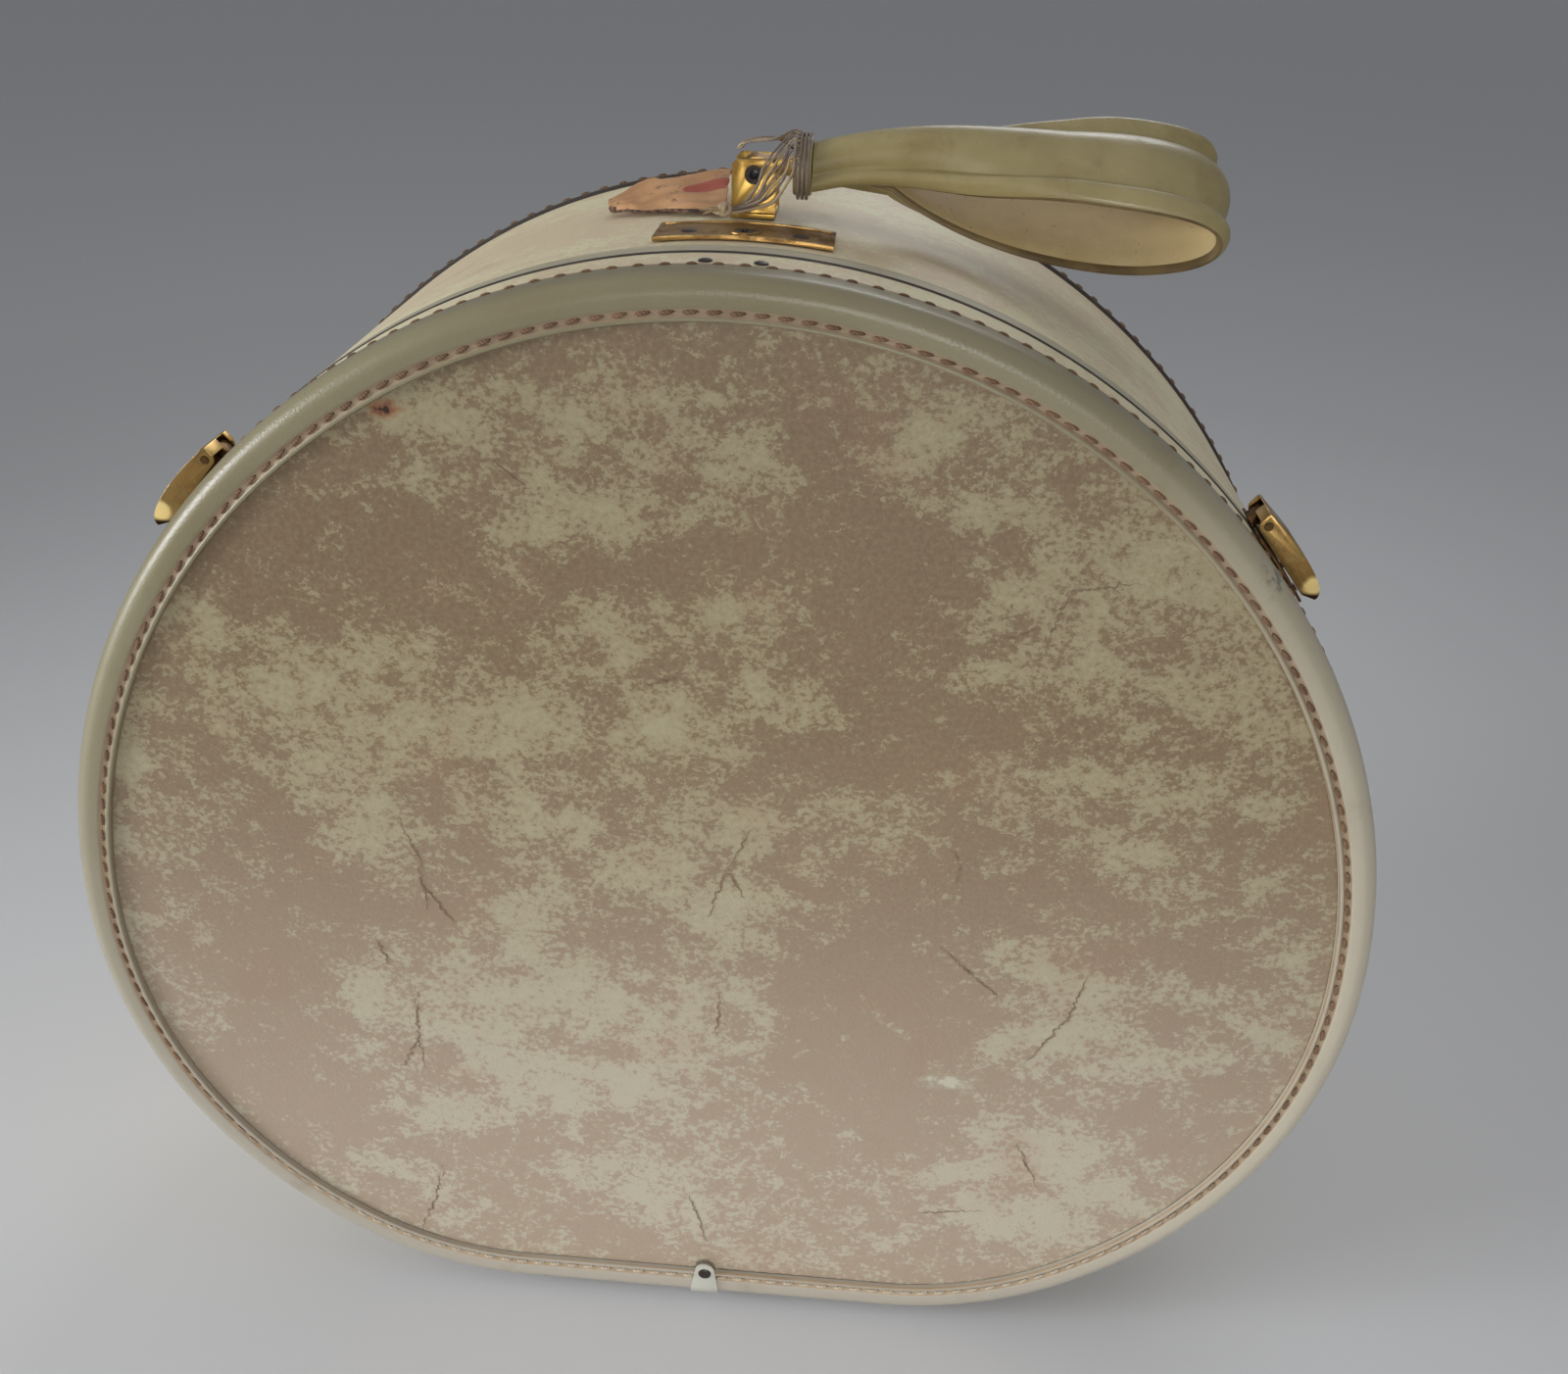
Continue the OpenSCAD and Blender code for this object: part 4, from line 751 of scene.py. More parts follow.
def gathered_strip(name, y0, y1):
    """A strip of satin round the inside of a hoop, its fullness gathered into small folds."""
    thick, folds, steps = 0.0005, 150, 840
    lock_half, lock_low, lock_y = 0.0275, 0.36, 0.0015
    spots = along_oval(WALL_INSIDE - 0.0006, steps)

    def place(u, v):
        x, z, angle = spots[int(round(u * steps)) % steps]
        gather = 1 + math.sin(2 * math.pi * folds * u + 2.2 * math.sin(5 * v + 9 * u))
        fold = 0.00035 * gather * (1 - abs(2 * v - 1) ** 6)
        return x - fold * math.sin(angle), y0 + (y1 - y0) * v, z - fold * math.cos(angle)
    strip = shape_sheet(name, steps, 18, place)
    close_up(strip, 0.00001, 80)
    bpy.ops.object.mode_set(mode="EDIT")
    bpy.ops.mesh.select_all(action="DESELECT")
    bpy.ops.object.mode_set(mode="OBJECT")
    for face in strip.data.polygons:
        x, y, z = face.center
        face.select = abs(x) < lock_half and z > lock_low and y < lock_y
    bpy.ops.object.mode_set(mode="EDIT")
    bpy.ops.mesh.delete(type="FACE")
    bpy.ops.object.mode_set(mode="OBJECT")
    cloth = strip.modifiers.new("thickness", "SOLIDIFY")
    cloth.thickness = thick
    cloth.offset = 0
    apply_all(strip)
    return strip


for name, body, node, y0, y1 in (("body_wall_lining", "case", "body_lining", -0.0413, 0.0888),
                                 ("lid_wall_lining", "lid", "lid_lining", -0.0888, -0.0730)):
    strip = gathered_strip(name, y0, y1)
    dress(strip, satin)
    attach(strip, body)
    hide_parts(node)


def quilted_pad(name, y_board, y_face, fullness):
    """A satin pad sewn in diamonds: the seams are held while its filling puffs the cloth up between them."""
    off, pitch, seam_half, frames = -0.0083, 0.046, 0.0017, 16
    full, low = y_face - y_board, 0.2

    def place(u, v):
        x, z = oval_disc(u, v, off)
        edge = 1 - max(abs(2 * u - 1), abs(2 * v - 1))
        return x, y_board + full * (low + 0.25 * min(1.0, edge * 14) ** 0.5), z
    pad = shape_sheet(name, 150, 144, place)
    face_along(pad, full)
    held = []
    for spot in pad.data.vertices:
        x, y, z = spot.co
        seams = ((x + z) / pitch, (x - z + 0.4) / pitch)
        near = min(abs(way - round(way)) for way in seams) * pitch / math.sqrt(2)
        if near < seam_half or (y - y_board) / full < 0.33:
            held.append(spot.index)
    pad.vertex_groups.new(name="sewn").add(held, 1.0, "REPLACE")
    filling = pad.modifiers.new("filling", "CLOTH")
    satin_cloth = filling.settings
    satin_cloth.vertex_group_mass = "sewn"
    satin_cloth.effector_weights.gravity = 0
    satin_cloth.use_pressure = True
    satin_cloth.uniform_pressure_force = 40
    satin_cloth.shrink_min = -fullness
    satin_cloth.quality = 4
    satin_cloth.mass = 0.15
    satin_cloth.tension_stiffness = satin_cloth.compression_stiffness = 8
    satin_cloth.bending_stiffness = 0.05
    filling.collision_settings.use_collision = False
    filling.point_cache.frame_end = frames
    for moment in range(1, frames + 1):
        bpy.context.scene.frame_set(moment)
    apply_all(pad)
    bpy.context.scene.frame_set(1)
    for spot in pad.data.vertices:
        spot.co.y = y_board + full * min(1.0, max(low, (spot.co.y - y_board) / full))
    take(pad)
    bpy.ops.object.mode_set(mode="EDIT")
    bpy.ops.mesh.select_all(action="DESELECT")
    bpy.ops.mesh.select_non_manifold()
    bpy.ops.mesh.extrude_region_move(TRANSFORM_OT_translate={"value": (0, -low * full, 0)})
    bpy.ops.mesh.edge_face_add()
    bpy.ops.object.mode_set(mode="OBJECT")
    close_up(pad, 0.00001, 70)
    dress(pad, satin)
    return pad


back_pad = quilted_pad("back_quilted_lining", 0.08895, 0.08095, 0.08)
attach(back_pad, "case")
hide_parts("back_lining")
lid_pad = quilted_pad("lid_quilted_lining", -0.08895, -0.08495, 0.025)
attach(lid_pad, "lid")
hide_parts("lid_panel_lining")

# FEET AND HINGES
# Domed brass studs under the body, riveted through the board, and two three-knuckle brass hinges
# under the seam, each leaf held by two rivets. All are dulled and scratched from standing.

brass_wear, given, out = new_group(
    "brass_wear", {"Vector": ("Vector", None), "Scale": ("Float", 120.0)}, ("Tarnish", "Spots", "Scratch"))
blotch = noise(brass_wear, given["Vector"], given["Scale"], 6.0, 0.62, 0.6)
brass_wear.links.new(fade(brass_wear, blotch, 0.42, 0.66), out["Tarnish"])
pits = noise(brass_wear, given["Vector"], 900.0, 3.0, 0.6)
brass_wear.links.new(fade(brass_wear, pits, 0.62, 0.72), out["Spots"])
hair = shader(brass_wear, "Mapping", {"Vector": given["Vector"], "Scale": (1.0, 0.12, 0.5),
                                      "Rotation": (0.3, 0.2, 0.9)})
brass_wear.links.new(noise(brass_wear, hair.outputs[0], 2600.0, 3.0, 0.7), out["Scratch"])


def brass_finish(name, bright, dull, spot, shine, scale):
    """Lacquered brass: bright where rubbed, brown where the lacquer has gone, with dark pits."""
    finish, tree, skin, here = new_finish(name, Metallic=1.0)
    wear = use_group(tree, brass_wear, Vector=here, Scale=scale)
    colour = over(tree, wear["Tarnish"], bright, dull)
    colour = tinge(tree, wear["Spots"], 0.4, colour, spot)
    coat(tree, skin, Base_Color=colour, Roughness=fade(tree, wear["Tarnish"], 0.0, 1.0, shine, shine + 0.2))
    relief = sums(tree, "SUBTRACT", sums(tree, "MULTIPLY", wear["Scratch"], 0.5), wear["Spots"])
    raise_surface(tree, skin, relief, 0.000012)
    return finish


hinge_brass = brass_finish("hinge_brass", paint(206, 170, 98), paint(150, 112, 60), paint(92, 64, 34), 0.28, 120.0)
for node in ("feet", "hinge_pin_left", "hinge_pin_right", "hinge_body_rivets", "hinge_lid_rivets"):
    dress(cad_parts[node], hinge_brass)
for node, body in (("hinge_body_leaf_left", "case"), ("hinge_body_leaf_right", "case"),
                   ("hinge_lid_leaf_left", "lid"), ("hinge_lid_leaf_right", "lid")):
    leaf = ease(node, 0.00018, node.replace("_leaf", "_flap"))
    dress(leaf, hinge_brass)
    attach(leaf, body)

# LOCK
# A pressed brass plate with a rolled rim, curved to the crown and held by two dark rivets, covers a
# steel lock case under the board. A key plug turns in it and slides the bolt through the lid's hasp.

plate_rim = brass_finish("plate_rim", paint(232, 200, 130), paint(196, 156, 88), paint(120, 86, 46), 0.2, 90.0)
plate_face = brass_finish("plate_face", paint(166, 132, 80), paint(124, 95, 58), paint(74, 52, 32), 0.36, 110.0)
plate = ease("lock_plate", 0.0004, "lock_escutcheon")
dress(plate, plate_face, plate_rim)
for face in plate.data.polygons:
    x, y, z = face.center
    rise = math.hypot(x, z - (OVAL_TOP - CROWN_R)) - CROWN_R
    face.material_index = int(rise > 0.0019 and abs(y + 0.036) > 0.0095)


def press_flat(piece):
    """Presses what stands above the crown down to the thinness of sheet metal."""
    middle = OVAL_TOP - CROWN_R
    for vert in piece.data.vertices:
        x, y, z = vert.co
        reach = math.hypot(x, z - middle)
        rise = reach - CROWN_R
        if rise > 0.0003:
            share = (CROWN_R + 0.0003 + 0.55 * (rise - 0.0003)) / reach
            vert.co = (x * share, y, middle + (z - middle) * share)


press_flat(plate)
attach(plate, "case")
plate_rivets = ease("lock_rivets", 0.0001, "escutcheon_rivets")
dress(plate_rivets, dark_rivet)
press_flat(plate_rivets)
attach(plate_rivets, "case")

steel, tree, skin, here = new_finish("lock_steel", Metallic=0.95, Roughness=0.4)
rolled = use_group(tree, brass_wear, Vector=here, Scale=140.0)
coat(tree, skin, Base_Color=over(tree, rolled["Tarnish"], paint(150, 148, 142), paint(104, 98, 90)))
coat(tree, skin, Roughness=fade(tree, rolled["Tarnish"], 0.0, 1.0, 0.32, 0.55))
raise_surface(tree, skin, rolled["Scratch"], 0.00003)
for node, body in (("lock_case", "case"), ("lock_bolt", "bolt")):
    part = ease(node, 0.00025, node.replace("lock_", "steel_lock_"))
    dress(part, steel)
    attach(part, body)
plug = ease("key_plug", 0.00015, "turning_plug")
dress(plug, dark_rivet)
press_flat(plug)
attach(plug, "key")
hasp = ease("hasp", 0.00025, "lid_hasp")
dress(hasp, hinge_brass)
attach(hasp, "lid")

# HANDLE POST
# Two brass ears with cropped corners stand on a riveted base plate; a hollow pin through both, flared
# outside, carries the handle's tongue.

post_brass = brass_finish("post_brass", paint(178, 144, 76), paint(136, 104, 54), paint(84, 60, 32), 0.32, 90.0)
post = ease("handle_post", 0.0003, "handle_bracket")
dress(post, post_brass)
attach(post, "case")
for node in ("handle_post_rivets", "handle_pin"):
    dress(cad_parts[node], dark_rivet)
tongue = ease("handle_tongue", 0.0005, "handle_hinge_tongue")
dress(tongue, post_brass)
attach(tongue, "handle")

# HANDLE
# One moulded vinyl strap, doubled back on itself into a flat loop. Both ends meet in a round neck
# held by a ferrule; a bead and a groove run along each edge of its crowned outer face.

PIN = Vector((0, -0.002, 0.4326))
NECK_Z, STRAP_UNDER, STRAP_OVER = 0.002, 0.002, 0.0052
NECK_W, END_W, TIP_W, STRAP_X0, TIP_X = 0.024, 0.009, 0.052, 0.0188, 0.1498
LOOP_UP, LOOP_DOWN, TWIST, CURL = 0.0102, -0.015, math.radians(24), math.radians(100)
RUN, FORK = TIP_X - STRAP_X0, 0.0023


def curve_through(a, b, c, count):
    """Points of a curve that leaves a towards b and comes into c."""
    return [tuple((1 - t) ** 2 * p + 2 * t * (1 - t) * q + t * t * r for p, q, r in zip(a, b, c))
            for t in (i / count for i in range(count))]


def ease_in(t):
    """A share from 0 to 1 that starts and stops gently."""
    t = max(0.0, min(1.0, t))
    return t * t * (3 - 2 * t)


tip = (TIP_X, (LOOP_UP + LOOP_DOWN) / 2)
top_end, low_start = (STRAP_X0 + RUN * 0.62, LOOP_UP), (STRAP_X0 + RUN * 0.66, LOOP_DOWN)
low_end, tucked = (STRAP_X0 + RUN * 0.2, -0.0012), (STRAP_X0 + RUN * 0.06, 0.0012)
upper_line = (curve_through((STRAP_X0, NECK_Z + FORK), (STRAP_X0 + RUN * 0.22, LOOP_UP + 0.0035), top_end, 34)
              + curve_through(top_end, (TIP_X, LOOP_UP), tip, 24))
strap_line = (upper_line + curve_through(tip, (TIP_X, LOOP_DOWN), low_start, 24)
              + curve_through(low_start, (STRAP_X0 + RUN * 0.36, LOOP_DOWN), low_end, 24)
              + [low_end, ((low_end[0] + tucked[0]) / 2, (low_end[1] + tucked[1]) / 2), tucked])


def strap_height(share, edge):
    """Height of the strap's outer face at a share of its half width: crown, groove, bead."""
    s = abs(share)
    crown = math.cos(math.pi / 2 * min(1.0, s / 0.63)) ** 1.1
    bead = math.cos(math.pi / 2 * max(-1.0, min(1.0, (s - 0.81) / 0.2))) ** 1.1
    return 0.1 + 0.9 * crown + edge * bead


section = [(k / 25, None) for k in range(-25, 26)]
section += [(1.0, -0.1), (0.97, -0.35), (0.9, -0.6), (0.7, -0.9), (0.4, -1.0), (0.0, -1.0), (-0.4, -1.0),
            (-0.7, -0.9), (-0.9, -0.6), (-0.97, -0.35), (-1.0, -0.1)]


def strap_point(u, v):
    """A place on the strap, round its section and along its line; its edges curl down round the neck."""
    share, under = section[int(round(u * len(section))) % len(section)]
    i = int(round(v * (len(strap_line) - 1)))
    x, z = strap_line[i]
    before, after = strap_line[max(i - 1, 0)], strap_line[min(i + 1, len(strap_line) - 1)]
    dx, dz = after[0] - before[0], after[1] - before[1]
    if i in (0, len(strap_line) - 1):
        dx, dz = (1, 0) if i == 0 else (-1, 0)
    size, way, upper = math.hypot(dx, dz), (x - STRAP_X0) / RUN, i < len(upper_line)
    start = NECK_W if upper else END_W
    wide = start + (TIP_W - start) * ease_in(way / 0.85)
    full = ease_in(way / 0.4) * (1 - ease_in((way - 0.78) / 0.22)) if upper else 0.0
    curl = max(0.017, CURL * (1 - ease_in(way / (0.8 if share > 0 else 0.68))) if upper else 0)
    curl += 0.2 * full if share > 0 else 0
    curl_r = wide / 2 / curl
    edge = 0.15 + 0.4 * (0.4 + 0.6 * ease_in(way / 0.4) if upper else ease_in((way - 0.85) / 0.15))
    outer = strap_height(share, edge) * (STRAP_OVER + 0.0018 * full)
    reach = curl_r + (outer if under is None else under * STRAP_UNDER)
    lift = reach * math.cos(share * curl) - curl_r
    px, py, pz = x - dz / size * lift, reach * math.sin(share * curl), z + dx / size * lift - NECK_Z
    turn = TWIST * (0.4 + 0.6 * ease_in(way / 0.45))
    return PIN + Vector((px, py * math.cos(turn) - pz * math.sin(turn),
                         NECK_Z + py * math.sin(turn) + pz * math.cos(turn)))


def cap_ends(piece, merge):
    """Merges the seam of a long closed shape and fills its open ends."""
    take(piece)
    bpy.ops.object.mode_set(mode="EDIT")
    bpy.ops.mesh.select_all(action="SELECT")
    bpy.ops.mesh.remove_doubles(threshold=merge)
    bpy.ops.mesh.select_all(action="DESELECT")
    bpy.ops.mesh.select_non_manifold()
    bpy.ops.mesh.edge_face_add()
    bpy.ops.object.mode_set(mode="OBJECT")


strap = shape_sheet("carrying_strap", len(section), len(strap_line) - 1, strap_point,
                    lambda u, v: 0 if u * len(section) < 50 else 1 if 53 < u * len(section) < 59 else 2)
cap_ends(strap, 0.00001)
close_up(strap, 0.00001, 50)

moulded_vinyl, tree, skin, here = new_finish("moulded_vinyl", Roughness=0.42, Coat_Weight=0.08)
tint = noise(tree, here, 24.0, 4.0, 0.6)
dirt = soil(tree, here, 60.0, 0.42)
colour = over(tree, fade(tree, tint, 0.3, 0.7), paint(142, 128, 83), paint(160, 147, 103))
colour = tinge(tree, dirt, 0.5, colour, paint(112, 91, 50))
specks = fade(tree, noise(tree, here, 520.0, 4.0, 0.7), 0.66, 0.74)
colour = tinge(tree, specks, 0.6, colour, paint(92, 70, 42))
coat(tree, skin, Base_Color=colour, Roughness=fade(tree, dirt, 0.0, 1.0, 0.36, 0.55))
press_grain(tree, skin, here, 1500.0, 0.00006)

# The strap's underside is painted paler than its top: painted light that makes up for the shade it sits in.
lit_underside_vinyl, tree, skin, here = new_finish("lit_underside_vinyl", Roughness=0.5)
tint = noise(tree, here, 30.0, 5.0, 0.65)
colour = over(tree, fade(tree, tint, 0.32, 0.68), paint(190, 168, 121), paint(210, 190, 144))
specks = fade(tree, noise(tree, here, 480.0, 4.0, 0.7), 0.62, 0.72)
colour = tinge(tree, specks, 0.7, colour, paint(88, 64, 34))
coat(tree, skin, Base_Color=colour, Roughness=fade(tree, tint, 0.3, 0.7, 0.42, 0.6))
press_grain(tree, skin, here, 1500.0, 0.00006)

# The strap's thin edges are painted dark brown: painted shade along them.
strap_edge, tree, skin, here = new_finish("strap_edge", Roughness=0.6)
edge_shade_mottle = noise(tree, here, 60.0, 4.0, 0.6)
coat(tree, skin, Base_Color=over(tree, fade(tree, edge_shade_mottle, 0.35, 0.65), paint(118, 100, 64), paint(92, 74, 44)))

dress(strap, moulded_vinyl, lit_underside_vinyl, strap_edge)
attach(strap, "handle")
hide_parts("handle_strap")

ferrule = ease("handle_ferrule", 0.0008, "neck_sleeve")
dress(ferrule, moulded_vinyl)
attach(ferrule, "handle")

# STRING AND TAG
# Two-ply string is wound round the neck and its ends run down across the front ear to a knot, where
# they hold what is left of a paper tag, torn, smudged and curled.

STRING_R, STRAND_R = 0.0006, 0.00042


def smooth_path(points, per):
    """A smooth line through points, with more points between."""
    pts = [Vector(p) for p in points]
    pts = [2 * pts[0] - pts[1], *pts, 2 * pts[-1] - pts[-2]]
    line = []
    for i in range(1, len(pts) - 2):
        a, b, c, d = pts[i - 1:i + 3]
        for k in range(per):
            t = k / per
            line.append(0.5 * (2 * b + (c - a) * t + (2 * a - 5 * b + 4 * c - d) * t * t
                               + (3 * b - a - 3 * c + d) * t ** 3))
    return line + [pts[-2]]


def twine(name, path, radius):
    """A two-ply string along a path, its plies turning round each other, closed at both ends."""
    frames, side = [], None
    for i, p in enumerate(path):
        ahead = (path[min(i + 1, len(path) - 1)] - path[max(i - 1, 0)]).normalized()
        side = ahead.orthogonal() if side is None else side - ahead * side.dot(ahead)
        side.normalize()
        frames.append((p, side.copy(), ahead.cross(side)))
    runs = [0.0]
    for a, b in zip(path, path[1:]):
        runs.append(runs[-1] + (b - a).length)
    lay = 0.0042

    def place(u, v):
        i = int(round(v * (len(path) - 1)))
        p, x, y = frames[i]
        turn = 2 * math.pi * u
        lobe = abs(math.cos(turn - 2 * math.pi * runs[i] / lay))
        r = radius * (0.74 + 0.26 * lobe)
        return p + r * (math.cos(turn) * x + math.sin(turn) * y)
    piece = shape_sheet(name, 14, len(path) - 1, place)
    cap_ends(piece, 0.000005)
    close_up(piece, 0.000002, 70)
    return piece, runs[-1]


def string_finish(name, clean, grey, dirty):
    """Soft cotton string with frayed and dirty places."""
    finish, tree, skin, here = new_finish(name, Roughness=0.9)
    fray = noise(tree, here, 900.0, 4.0, 0.7)
    aged = fade(tree, noise(tree, here, 70.0, 4.0, 0.6), 0.35, 0.68)
    colour = over(tree, fade(tree, fray, 0.55, 0.75), over(tree, aged, clean, grey), dirty)
    coat(tree, skin, Base_Color=colour)
    raise_surface(tree, skin, fray, 0.0001)
    return finish


cotton = string_finish("cotton_string", paint(188, 166, 124), paint(166, 146, 124), paint(120, 98, 74))
worn_cotton = string_finish("worn_cotton", paint(150, 134, 118), paint(112, 98, 92), paint(78, 66, 62))

TURNS, PITCH, WIND_R, TAIL_R = 3, 0.0014, 0.0101, 0.0124
wind_x = 0.0125 + 0.0009 + TURNS * PITCH
winding = []
for i in range(24 * TURNS + 7):
    t = i / 24
    r = WIND_R + (TAIL_R - WIND_R) * ease_in((i - 24 * TURNS) / 6)
    turn = 2 * math.pi * t
    winding.append(PIN + Vector((wind_x - PITCH * t, -r * math.sin(turn), NECK_Z + r * math.cos(turn))))
tail_way = Vector((-0.5, 0, -0.866))
winding += [winding[-1] + tail_way * 0.0012, winding[-1] + tail_way * 0.0024]
wound, wound_length = twine("neck_string", winding, STRING_R)
dress(wound, worn_cotton)
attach(wound, "handle")
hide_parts("string_winding")
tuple(winding[0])

TAG_FRONT, TAG_REAR = ((-0.050, 0.006), (-0.009, -0.011)), ((-0.054, 0.028), (-0.012, 0.034))


def tag_place(u, v, raise_by=0.0):
    """A place on the tag: a four-cornered scrap that follows the crown and curls up beside the post."""
    fx, fy = [TAG_FRONT[0][k] * (1 - u) + TAG_FRONT[1][k] * u for k in (0, 1)]
    bx, by = [TAG_REAR[0][k] * (1 - u) + TAG_REAR[1][k] * u for k in (0, 1)]
    x, y = fx * (1 - v) + bx * v, fy * (1 - v) + by * v
    crown = math.sqrt(CROWN_R ** 2 - x * x) - CROWN_R
    return Vector((x, PIN.y + y, OVAL_TOP + crown + 0.0003 + 0.008 * (0.5 + 0.5 * u) * v + raise_by))


KNOT = PIN + Vector((-0.0085, -0.017, -0.0113))
tie = tag_place(0.9, 0.06, 0.0017)
start = winding[-1] + tail_way * 0.0003
route = [start, start + tail_way * 0.0015, PIN + Vector((0.007, -0.0124, -0.0075)),
         PIN + Vector((0.002, -0.0134, -0.0094)), PIN + Vector((-0.004, -0.0156, -0.0107)), KNOT,
         PIN + Vector((-0.012, -0.015, -0.0112)), tie + Vector((-0.0003, -0.002, 0.0004)), tie]
tie_path = smooth_path(route, 8)
tied, tied_length = twine("tag_tie", tie_path, STRING_R)
dress(tied, cotton)
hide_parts("tag_string")
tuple(route[3])
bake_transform(tied)
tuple(tie_path[0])

# Loose strands from the neck, each from its own place round it: long ones over the front ear and down
# to the knot, and short ones over the tongue. The first and the last strand of each bundle are given.
DOWN_EAR = (((0.0072, -0.0100, 0.0085), (0.0104, -0.0106, 0.0000)),
            ((0.0030, -0.0112, 0.0030), (0.0072, -0.0116, -0.0045)),
            ((0.0008, -0.0122, -0.0035), (0.0030, -0.0130, -0.0080)),
            ((-0.0030, -0.0142, -0.0085), (-0.0030, -0.0150, -0.0094)),
            ((-0.0086, -0.0165, -0.0101), (-0.0088, -0.0170, -0.0098)))
OVER_TONGUE = (((0.0070, 0.0040, 0.0098), (0.0070, -0.0050, 0.0108)),
               ((0.0015, 0.0020, 0.0098), (0.0015, -0.0040, 0.0098)),
               ((-0.0035, 0.0005, 0.0086), (-0.0035, -0.0030, 0.0086)),
               ((-0.0050, 0.0008, 0.0076), (-0.0050, -0.0025, 0.0076)),
               ((-0.0062, 0.0010, 0.0068), (-0.0062, -0.0020, 0.0068)))
shaky = random.Random(8)
for bundle, count, first, last, way in (("ear", 7, 15, 80, DOWN_EAR), ("tongue", 4, -70, -10, OVER_TONGUE)):
    for i in range(count):
        f = i / (count - 1)
        turn = math.radians(first + (last - first) * f)
        leave = Vector((0.0128, -0.0107 * math.sin(turn), NECK_Z + 0.0107 * math.cos(turn)))
        route = [leave + Vector((0.0016, 0, 0)), leave + Vector((-0.0012, 0, 0.0001))]
        for high, low in way:
            jog = Vector((shaky.uniform(-0.0005, 0.0005), shaky.uniform(-0.0006, 0), shaky.uniform(-0.0003, 0.0004)))
            route.append(Vector(high).lerp(Vector(low), f) + jog)
        strand_path = smooth_path([PIN + p for p in route], 8)
        strand, strand_length = twine("%s_strand_%d" % (bundle, i + 1), strand_path, STRAND_R)
        dress(strand, cotton if i % 3 == 2 else worn_cotton)
        if bundle == "tongue":
            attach(strand, "handle")
            continue
        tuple(strand_path[8])
        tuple(strand_path[34])
        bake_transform(strand)
        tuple(strand_path[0])

# The knot, two crossed turns pulled tight, and its frayed end
lumps = []
for k, (lean, size) in enumerate(((20, 0.0016), (-35, 0.0017), (80, 0.0015))):
    bpy.ops.mesh.primitive_torus_add(major_radius=size, minor_radius=0.0008, major_segments=24, minor_segments=10,
                                     location=KNOT + Vector((0.0002 * k, 0.0003 * k, 0.0014)),
                                     rotation=(math.radians(70 + 12 * k), math.radians(lean), math.radians(35 * k)))
    lumps.append(bpy.context.object)
shaky = random.Random(5)
for k in range(9):
    way = Vector((-0.006 + shaky.uniform(-0.0015, 0.0015), -0.001 + shaky.uniform(-0.0018, 0.0018),
                  shaky.uniform(-0.0016, 0.0006)))
    first = KNOT + Vector((-0.0008, -0.0004, 0.0012))
    bow = first + way * 0.5 + Vector((0, shaky.uniform(-0.0007, 0.0007), shaky.uniform(0, 0.0008)))
    fibre, _ = twine("fray", smooth_path([first, bow, first + way], 5), 0.00022)
    lumps.append(fibre)
knot = join_up(lumps, "tag_knot")
bpy.ops.object.transform_apply(location=True, rotation=True, scale=True)
close_up(knot, 0.000002, 60)
dress(knot, cotton)
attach(knot, "case")


def torn_tag(u, v):
    """The tag's sheet with a ragged outline, small waves and a corner folded down."""
    rag = random.Random(int(u * 997) * 7919 + int(v * 991))
    inset = 0.03 * (math.sin(17 * u + 3) + math.sin(29 * v) + 0.5 * rag.uniform(-1, 1))
    uu = u + inset * (2 * u - 1) ** 7
    vv = v + inset * (2 * v - 1) ** 7
    vv = 0.22 + (vv - 0.22) * (1 - 0.5 * (1 - uu) ** 5)
    uu += 0.05 * (1 - vv) * (1 - uu) ** 3 * math.sin(9 * vv + 1)
    spot = tag_place(min(1.0, max(0.0, uu)), min(1.0, max(0.0, vv)), 0.0005 - 0.0025 * u * u * v)
    wave = 0.0005 * math.sin(11 * u + 4 * v) + 0.0004 * math.sin(23 * v - 9 * u)
    lip = min(1.0, v / 0.09, (u + 0.02) / 0.07 if v < 0.45 else 1.0)
    return spot + Vector((0, 0, 0.0003 + 0.0011 * lip + lip * wave * min(1, 6 * u * (1 - u) + 0.3)))


tag = shape_sheet("torn_tag", 56, 48, torn_tag, lambda u, v: int(v < 0.045 or (u < 0.035 and v < 0.4) or v > 0.97))
paper_wall = tag.modifiers.new("thickness", "SOLIDIFY")
paper_wall.thickness = 0.0006
paper_wall.offset = 0
apply_all(tag)
close_up(tag, 0.000002, 50)
paper, tree, skin, here = new_finish("old_paper", Roughness=0.85)
blotch = noise(tree, here, 60.0, 6.0, 0.65, 0.4)
colour = over(tree, fade(tree, blotch, 0.35, 0.65), paint(200, 154, 111), paint(178, 133, 93))
smear = fade(tree, noise(tree, here, 190.0, 5.0, 0.7, 0.8), 0.58, 0.68)
colour = tinge(tree, smear, 0.75, colour, paint(82, 66, 60))
bare = shader(tree, "VectorMath", {0: here, 1: (-0.0165, 0.015, 0.4235)}, operation="SUBTRACT").outputs[0]
bare = shader(tree, "VectorRotate", {"Vector": bare, "Angle": math.radians(-35)}, rotation_type="Z_AXIS").outputs[0]
bare = shader(tree, "VectorMath", {0: bare, 1: (0.75, 1.5, 0.3)}, operation="MULTIPLY").outputs[0]
bare = shader(tree, "VectorMath", {0: bare}, operation="LENGTH").outputs["Value"]
bare = sums(tree, "ADD", bare, sums(tree, "MULTIPLY", sums(tree, "SUBTRACT", blotch, 0.5), 0.008))
colour = over(tree, fade(tree, bare, 0.0086, 0.0074), colour, paint(164, 84, 68))
coat(tree, skin, Base_Color=colour)
raise_surface(tree, skin, noise(tree, here, 700.0, 4.0, 0.7), 0.0002)
